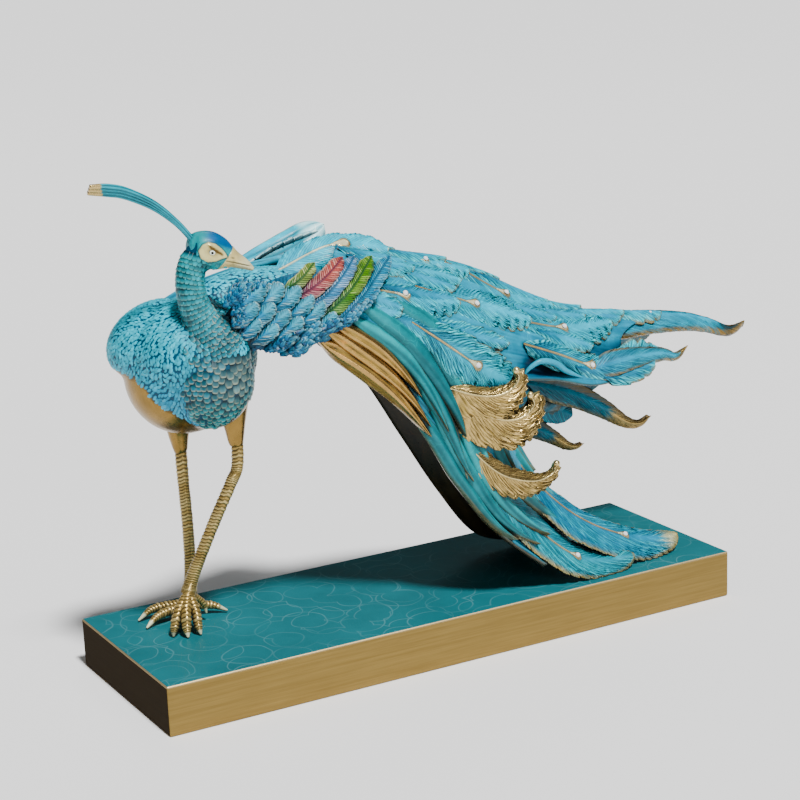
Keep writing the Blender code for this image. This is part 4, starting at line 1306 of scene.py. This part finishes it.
def eye_feathers():
    """The broad eyed feathers of the upper sheet, each over the roots of the next."""
    surface = Surface()
    rows = (
        (((0.52, 0.80), (0.60, 0.81), (0.72, 0.80)), 14, 14),
        (((0.44, 0.94), (0.56, 0.95), (0.66, 0.95)), 12, None),
        (((0.26, 0.80), (0.40, 0.81), (0.54, 0.80)), 15, 13),
        (((0.16, 0.93), (0.30, 0.94), (0.42, 0.94)), 13, None),
        (((0.08, 0.78), (0.24, 0.80), (0.38, 0.79)), 15, 12),
        (((0.42, 0.66), (0.56, 0.66), (0.70, 0.64)), 12, None),
        (((0.18, 0.64), (0.32, 0.66), (0.46, 0.66)), 12, None),
        (((0.62, 0.60), (0.78, 0.58), (0.92, 0.56)), 10, None),
        (((0.50, 0.20), (0.74, 0.16), (0.99, 0.19)), 16, 7),
        (((0.62, 0.44), (0.74, 0.46), (0.88, 0.47)), 10, None),
        (((0.46, 0.30), (0.64, 0.36), (0.83, 0.40)), 18, 6),
        (((0.42, 0.52), (0.58, 0.54), (0.74, 0.52)), 12, None),
        (((0.32, 0.47), (0.48, 0.42), (0.61, 0.46)), 16, 4),
        (((0.22, 0.29), (0.40, 0.34), (0.52, 0.32)), 19, 3),
        (((0.24, 0.54), (0.36, 0.57), (0.48, 0.56)), 12, None),
        (((0.16, 0.08), (0.28, 0.12), (0.38, 0.15)), 13, None),
        (((0.08, 0.47), (0.28, 0.54), (0.385, 0.45)), 17, 1),
        (((0.18, 0.37), (0.26, 0.38), (0.35, 0.38)), 11, None),
        (((0.06, 0.18), (0.20, 0.24), (0.34, 0.29)), 18, 2),
        (((0.03, 0.36), (0.12, 0.36), (0.22, 0.37)), 12, None),
    )
    for i, (path, half, stone) in enumerate(rows):
        style = Style(**BROAD) if stone else Style(**BROAD | dict(lift=3.0, shaft=0.0))
        sheet_feather(surface, UPPER_RIBS, path, half, style, seed=i * 1.37 + 0.2,
                      step=0.9 if i < 5 else 0.55, stone=stone,
                      profile=root_hidden if stone == 7 else rounded_tip)
    return surface


def train_tips():
    """The long pointed feathers at the train's end, and a few that lie free of the sheets."""
    surface = Surface()
    front, back, above = np.array((-0.3, -0.85, 0.4)), np.array((0.1, 0.9, 0.3)), (-0.1, -0.6, 0.75)
    long_barbs = dict(thick=3.2, crown=2.2, relief=0.8, pitch=3.0, cot=3.6, ragged=0.03, split=0.04,
                      tuft=5.0, shingle=0.6, rim=2.0, rim_from=0.0, rim_colour=BRONZE, rim_gilt=0.7,
                      root=rgb(0x046C8A), tip=rgb(0x0889A6), eye_size=3.2)
    ridge = Style(**long_barbs, shaft=0.5, tip_colour=rgb(0x2C2012), tip_from=0.78, tip_gilt=0.3)
    near = Style(**long_barbs, shaft=0.0, tip_colour=rgb(0x55431F), tip_from=0.84, tip_gilt=0.5)
    gold_tip = Style(**long_barbs | dict(root=rgb(0x05586C), tip=rgb(0x066A82), thick=2.6, shaft=0.0,
                                         tip_colour=rgb(0xB0935A), tip_from=0.62, tip_gilt=0.8))
    feather(surface,
            ((140, -12, 184), (190, -14, 182.5), (238, -19, 178), (262, -22, 172), (282, -25, 164),
             (297.6, -26, 166.5)),
            above, 17, ridge, seed=1.0, profile=root_hidden, lean=0.30, stone=8)
    feather(surface,
            ((128, -50, 158), (165, -52, 162), (197, -51, 161), (212, -50, 157), (223, -50, 163)), front,
            13, near, seed=2.0, profile=root_hidden)
    for side, normal in ((-1, front), (1, back)):
        lift = np.array((0, side * 1.5, 0))
        step = 0.7 if side < 0 else 1.3
        feather(surface,
                np.array(((125, 34, 132), (165, 32, 119), (196, 30, 102), (220, 30, 86), (234, 30, 82),
                          (245, 30, 86))) + lift,
                normal, 15, gold_tip, seed=3.0, profile=root_hidden, step=step)
        feather(surface,
                np.array(((96, 41, 112), (134, 38, 94), (153, 37, 83), (166, 36, 74), (175, 36, 71),
                          (182, 36, 72))) + lift,
                normal, 13, gold_tip, seed=4.0, profile=root_hidden, step=step)
    inner = Style(**SMOOTH_EDGED | dict(split=0.04, root=rgb(0x04566A), tip=rgb(0x066A82), relief=0.45,
                                        dark=0.6, thick=2.4, rim=0.0, shaft=0.0, eye_size=3.0))
    feather(surface, ((112, 32, 150), (134, 32, 130), (151, 33, 113), (172, 32, 98)), front, 16, inner,
            seed=8.0, stone=9)
    feather(surface, ((92, 32, 160), (112, 32, 138), (130, 34, 118), (146, 35, 100)), front, 14, inner,
            seed=9.0)
    feather(surface, ((-22, -46, 216), (10, -55, 192), (40, -59, 170), (64, -60, 152)), front, 18,
            Style(**BROAD), seed=5.5, step=0.5, stone=5)
    curl = tube_rings(((68, -52, 160, 0.6), (73, -54, 168, 1.6), (83, -56, 173, 2.2), (95, -56.5, 170, 2.4),
                       (106, -55.5, 162, 2.2), (122, -53, 154, 0.8)),
                      70, 18)
    surface.tube(curl, painted(np.broadcast_to(rgb(0x048CA8), curl.shape), 0))
    smooth_vane = Style(root=rgb(0x0FA0C0), tip=rgb(0x17AECB), light=rgb(0xBDEBF2), relief=0.4, shine=0.4,
                        dark=0.55, split=0.12, eye_size=4.4, shaft_colour=CREAM, shaft_gilt=0.0, rim=0.6,
                        rim_from=0.7, rim_colour=CREAM, rim_gilt=0.1, crown=2.4, thick=3.6)
    feather(surface, ((-100, 10, 252), (-62, 4, 267), (-36, 1, 266.5), (-14, -4, 261)), above, 15,
            smooth_vane, seed=6.5, profile=blunt_tip, eye=0.62)
    return surface


def lower_train():
    """The fall under the wing: a sheet with long overlapping leaves, gilded at the front."""
    surface = Surface()

    def relief(s, t):
        ridge, chance = flowing_strands(s, t, 34, 2.0, 2.0)
        return 1.2 * ridge * (0.5 + chance)

    sheet(surface, LOWER_RIBS, 3.0, relief,
          train_paint(34, 0.6, lambda s, t: 0.6 * smooth(0.5, 0.75, t)), lower_inside)
    leaf = dict(**SMOOTH_EDGED, flutes=2, relief=0.7, thick=2.6, crown=3.6, rim=1.0, rim_from=0.0,
                rim_gilt=0.8, rim_colour=BRONZE, shaft=0.0, dark=0.45, shine=0.5)
    gilded = Style(**leaf | dict(rim=0.0, crown=4.5, relief=2.0, dark=0.9, lift=3.0, thick=4.0,
                                 root=rgb(0xB99A5C), tip=rgb(0xA98950), light=rgb(0xFFF0C8),
                                 tip_colour=rgb(0xB59055), tip_from=-0.2, tip_gilt=0.95))
    for i, (path, half) in enumerate((
        (((0.60, 0.56), (0.78, 0.52), (0.97, 0.50)), 10.0),
        (((0.35, 0.60), (0.55, 0.56), (0.80, 0.52)), 10.0),
        (((0.02, 0.56), (0.24, 0.52), (0.52, 0.48)), 10.0),
        (((0.50, 0.40), (0.70, 0.36), (0.96, 0.36)), 9.0),
        (((0.24, 0.48), (0.46, 0.42), (0.72, 0.36)), 9.0),
        (((0.02, 0.46), (0.26, 0.38), (0.56, 0.34)), 9.0),
        (((0.42, 0.24), (0.66, 0.20), (0.94, 0.22)), 9.0),
        (((0.20, 0.34), (0.44, 0.28), (0.70, 0.22)), 8.5),
        (((0.02, 0.36), (0.24, 0.26), (0.50, 0.18)), 8.5),
        (((0.36, 0.10), (0.62, 0.08), (0.93, 0.10)), 8.0),
        (((0.14, 0.22), (0.36, 0.14), (0.62, 0.07)), 7.5),
        (((0.02, 0.28), (0.20, 0.20), (0.44, 0.10)), 7.0),
        (((0.30, 0.02), (0.55, 0.00), (0.86, 0.02)), 6.5),
    )):
        share = hashed(i * 1.7)
        style = Style(**leaf, root=mix(rgb(0x0B8C96), rgb(0x076470), share),
                      tip=mix(rgb(0x04505A), rgb(0x066C76), share), lift=4.2, light=rgb(0x3FA9B2))
        sheet_feather(surface, LOWER_RIBS, path, half, style, seed=i * 2.1, profile=leaf_strand, base=0.3,
                      step=0.6)
    for i, (path, half) in enumerate((
        (((0.0, 0.02), (0.18, 0.0), (0.40, -0.02)), 8.0),
        (((0.0, 0.12), (0.16, 0.07), (0.38, 0.02)), 7.5),
        (((0.0, 0.21), (0.14, 0.16), (0.30, 0.10)), 6.0),
    )):
        sheet_feather(surface, LOWER_RIBS, path, half, gilded, seed=i * 3.3, profile=leaf_strand,
                      base=1.4, step=0.6)
    for i, share in enumerate(np.linspace(0, 1, 6)):
        style = Style(**leaf, root=rgb(0x086C80), tip=rgb(0x075A70), light=rgb(0x3FA5B5))
        path = ((0.05, 0.62 + 0.32 * share), (0.48, 0.62 + 0.33 * share), (0.92, 0.60 + 0.34 * share))
        sheet_feather(surface, LOWER_RIBS, path, 8.0, style, seed=i * 1.1 + 20, profile=leaf_strand,
                      step=1.4)
    return surface


def lobes():
    """The two broad feathers that run out over the plinth, the far one under the near one."""
    surface = Surface()
    frilled = dict(thick=3.0, crown=1.8, relief=0.9, pitch=3.0, cot=3.6, ragged=0.02, split=0.08,
                   tuft=4.0, shingle=0.5, wave=0.3, cleft=0.4, shine=0.8, light=rgb(0x7CD2E0), rim=1.6,
                   rim_from=0.0, rim_colour=rgb(0xB59A5E), rim_gilt=0.7, eye_size=3.3, dark=0.85)
    near = Style(**frilled, root=rgb(0x03525E), tip=rgb(0x04768A))
    far = Style(**frilled, root=rgb(0x024A6E), tip=rgb(0x03708E), tip_colour=rgb(0xC9BA8E), tip_from=0.90,
                tip_gilt=0.4)
    feather(surface,
            ((56, -36, 112), (85, -37, 76), (111, -38, 50), (138, -40, 31), (170, -42, 16.5),
             (193, -44, 11), (214, -47, 10.5)),
            (-0.12, -0.45, 0.9), 22, far, seed=1.7, lean=0.40, step=0.45, stone=11)
    feather(surface,
            ((0, -62, 128), (24, -61, 98), (56, -60, 64), (82, -59, 38), (111, -59, 17), (138, -61, 9),
             (160, -63, 9)),
            (-0.15, -0.60, 0.8), 19, near, seed=0.4, step=0.45, stone=10)
    return surface


def gold_plumes():
    """Three gilded leaves with curled tips, fringed by long barbs along their outer side."""
    surface = Surface()
    front = (-0.35, -0.9, 0.2)
    leaf = Style(root=rgb(0x4A3512), tip=rgb(0xC0A064), light=rgb(0xFFF2CC), shine=0.8, pitch=3.2,
                 cot=3.4, relief=1.2, thick=3.2, crown=2.6, ragged=0.0, split=0.26, tuft=3.0, shingle=0.7,
                 rim=0.0, shaft=0.5, cleft=1.6, shaft_colour=rgb(0xD8C48C), shaft_gilt=0.9,
                 tip_colour=rgb(0xC8AA6C), tip_from=-0.2, tip_gilt=0.95, dark=0.85, bare=0.0)
    for i, (spine, half, lean) in enumerate((
        (((-1, -58, 167), (12, -64, 162), (25, -68, 158.5), (36, -71, 158), (46, -73, 161.5),
          (51, -74, 168), (50, -74, 174)), 12.5, 0.26),
        (((2, -58, 155), (17, -64, 148), (32, -69, 141), (45, -72, 138), (56, -74, 140), (63, -75, 147),
          (61, -75, 154)), 15.5, 0.26),
        (((10, -58, 128), (22, -64, 112), (36, -69, 98.5), (52, -71, 91), (68, -72, 88), (80, -72, 91),
          (84, -72, 97)), 11.5, 0.34),
    )):
        feather(surface, spine, front, half, leaf, seed=i + 0.2, lean=lean, step=0.35,
                profile=lambda v: smooth(-0.1, 0.30, v) * (0.34 + 0.66 * smooth(1.0, 0.62, v)))
        end, before = np.array(spine[-1], float), np.array(spine[-2], float)
        knob = ball(end + 0.1 * (end - before), (2.8, 2.6, 2.8), end - before)
        surface.tube(knob, painted(np.broadcast_to(rgb(0xD9C38C), knob.shape), 0.9))
    return surface


def stone_spot(number):
    """A stone's middle, in millimetres above the plinth's top."""
    low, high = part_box(f"eye_stone_{number}")
    return (np.array(low) + np.array(high)) / 2 / MM - np.array((0, 0, STAND / MM))


def nearest_on_sheet(ribs, spot):
    """(s, t) of the sheet's point nearest a spot, and the spot's height over it."""
    s, t = np.meshgrid(np.linspace(0, 1, 201), np.linspace(0, 1, 201), indexing="ij")
    gaps = np.linalg.norm(on_sheet(ribs, s, t) - spot, axis=-1)
    i = np.unravel_index(gaps.argmin(), gaps.shape)
    normal = sheet_slopes(ribs, s[i], t[i])[2]
    return s[i], t[i], float((spot - on_sheet(ribs, s[i], t[i])) @ normal)


# Stage

FLOOR_HALF = 40
CAMERA_PLACE = (-0.71006, -1.26250, 0.55762)
CAMERA_RIGHT = (0.86803, -0.49506, -0.03797)
CAMERA_UP = (0.15613, 0.19955, 0.96737)
CAMERA_BACK = (-0.47133, -0.84563, 0.25051)


def turned(place, aim):
    """The turn of a lamp at a place that shines towards aim."""
    return (Vector(aim) - Vector(place)).to_track_quat("-Z", "Y").to_euler()


def stage():
    """A pale floor in soft studio light, and a camera at the photograph's angle."""
    world = bpy.data.worlds.new("studio")
    bpy.context.scene.world = world
    world.use_nodes = True
    back = world.node_tree.nodes["Background"]
    back.inputs["Color"].default_value = (1.0, 1.0, 1.0, 1.0)
    back.inputs["Strength"].default_value = 0.10
    floor_mesh = bpy.data.meshes.new("floor")
    corners = [(x * FLOOR_HALF, y * FLOOR_HALF, 0) for x, y in ((-1, -1), (1, -1), (1, 1), (-1, 1))]
    floor_mesh.from_pydata(corners, [], [(0, 1, 2, 3)])
    pale, _, shader = node_material("floor")
    shader.inputs["Base Color"].default_value = (0.92, 0.92, 0.92, 1.0)
    shader.inputs["Roughness"].default_value = 0.9
    floor_mesh.materials.append(pale)
    floor = placed("floor", floor_mesh)
    sun = bpy.data.lights.new("key", "SUN")
    sun.angle, sun.energy = math.radians(8.0), 5.8
    placed("key", sun).rotation_euler = turned((0.0, -2.3, 4.1), (0.0, 0.0, 0.0))
    for name, place, aim, power in (
        ("fill", (0.2, -4.2, 1.4), (0.0, 0.0, 0.15), 30.0),
        ("rim", (1.6, 2.6, 3.4), (0.0, 0.0, 0.2), 14.0),
    ):
        lamp = bpy.data.lights.new(name, "AREA")
        lamp.size, lamp.energy = 1.4, power
        light = placed(name, lamp)
        light.location = place
        light.rotation_euler = turned(place, aim)
    lens = bpy.data.cameras.new("camera")
    lens.lens, lens.sensor_width, lens.sensor_fit = 90.01, 36.0, "HORIZONTAL"
    camera = placed("camera", lens)
    columns = (CAMERA_RIGHT, CAMERA_UP, CAMERA_BACK, CAMERA_PLACE)
    camera.matrix_world = Matrix([*zip(*columns), (0, 0, 0, 1)])
    bpy.context.scene.camera = camera


def main():
    train_finish = paint_material("train_finish", 0.32, 0.30)
    fine_finish = paint_material("fine_finish", 0.36, 0.0)
    repaint(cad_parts["plinth"], plinth_material())
    stone = stone_material()
    for name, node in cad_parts.items():
        if name.startswith("eye_stone"):
            repaint(node, stone)
    surface, tree, normals = body()
    skin_points = surface.points[0]
    surface.make("body", fine_finish)
    plumage = Surface()
    neck_and_breast(plumage, tree, skin_points, normals)
    plumage.make("neck_and_breast", fine_finish)
    strokes = Surface()
    mantle(strokes, skin_points, normals)
    strokes.make("mantle", fine_finish)
    wing = near_wing()
    wing_tree = wing.tree()
    wing.make("near_wing", fine_finish)
    wing_plumage(wing_tree).make("wing_plumage", fine_finish)
    for name, carved, finish in (
        ("head", head, fine_finish),
        ("legs", legs, fine_finish),
        ("crest", crest, fine_finish),
        ("far_wing", far_wing, train_finish),
        ("upper_train", upper_train, train_finish),
        ("eye_feathers", eye_feathers, train_finish),
        ("train_tips", train_tips, train_finish),
        ("lower_train", lower_train, train_finish),
        ("lobes", lobes, train_finish),
        ("gold_plumes", gold_plumes, fine_finish),
    ):
        carved().make(name, finish)
    stage()


main()
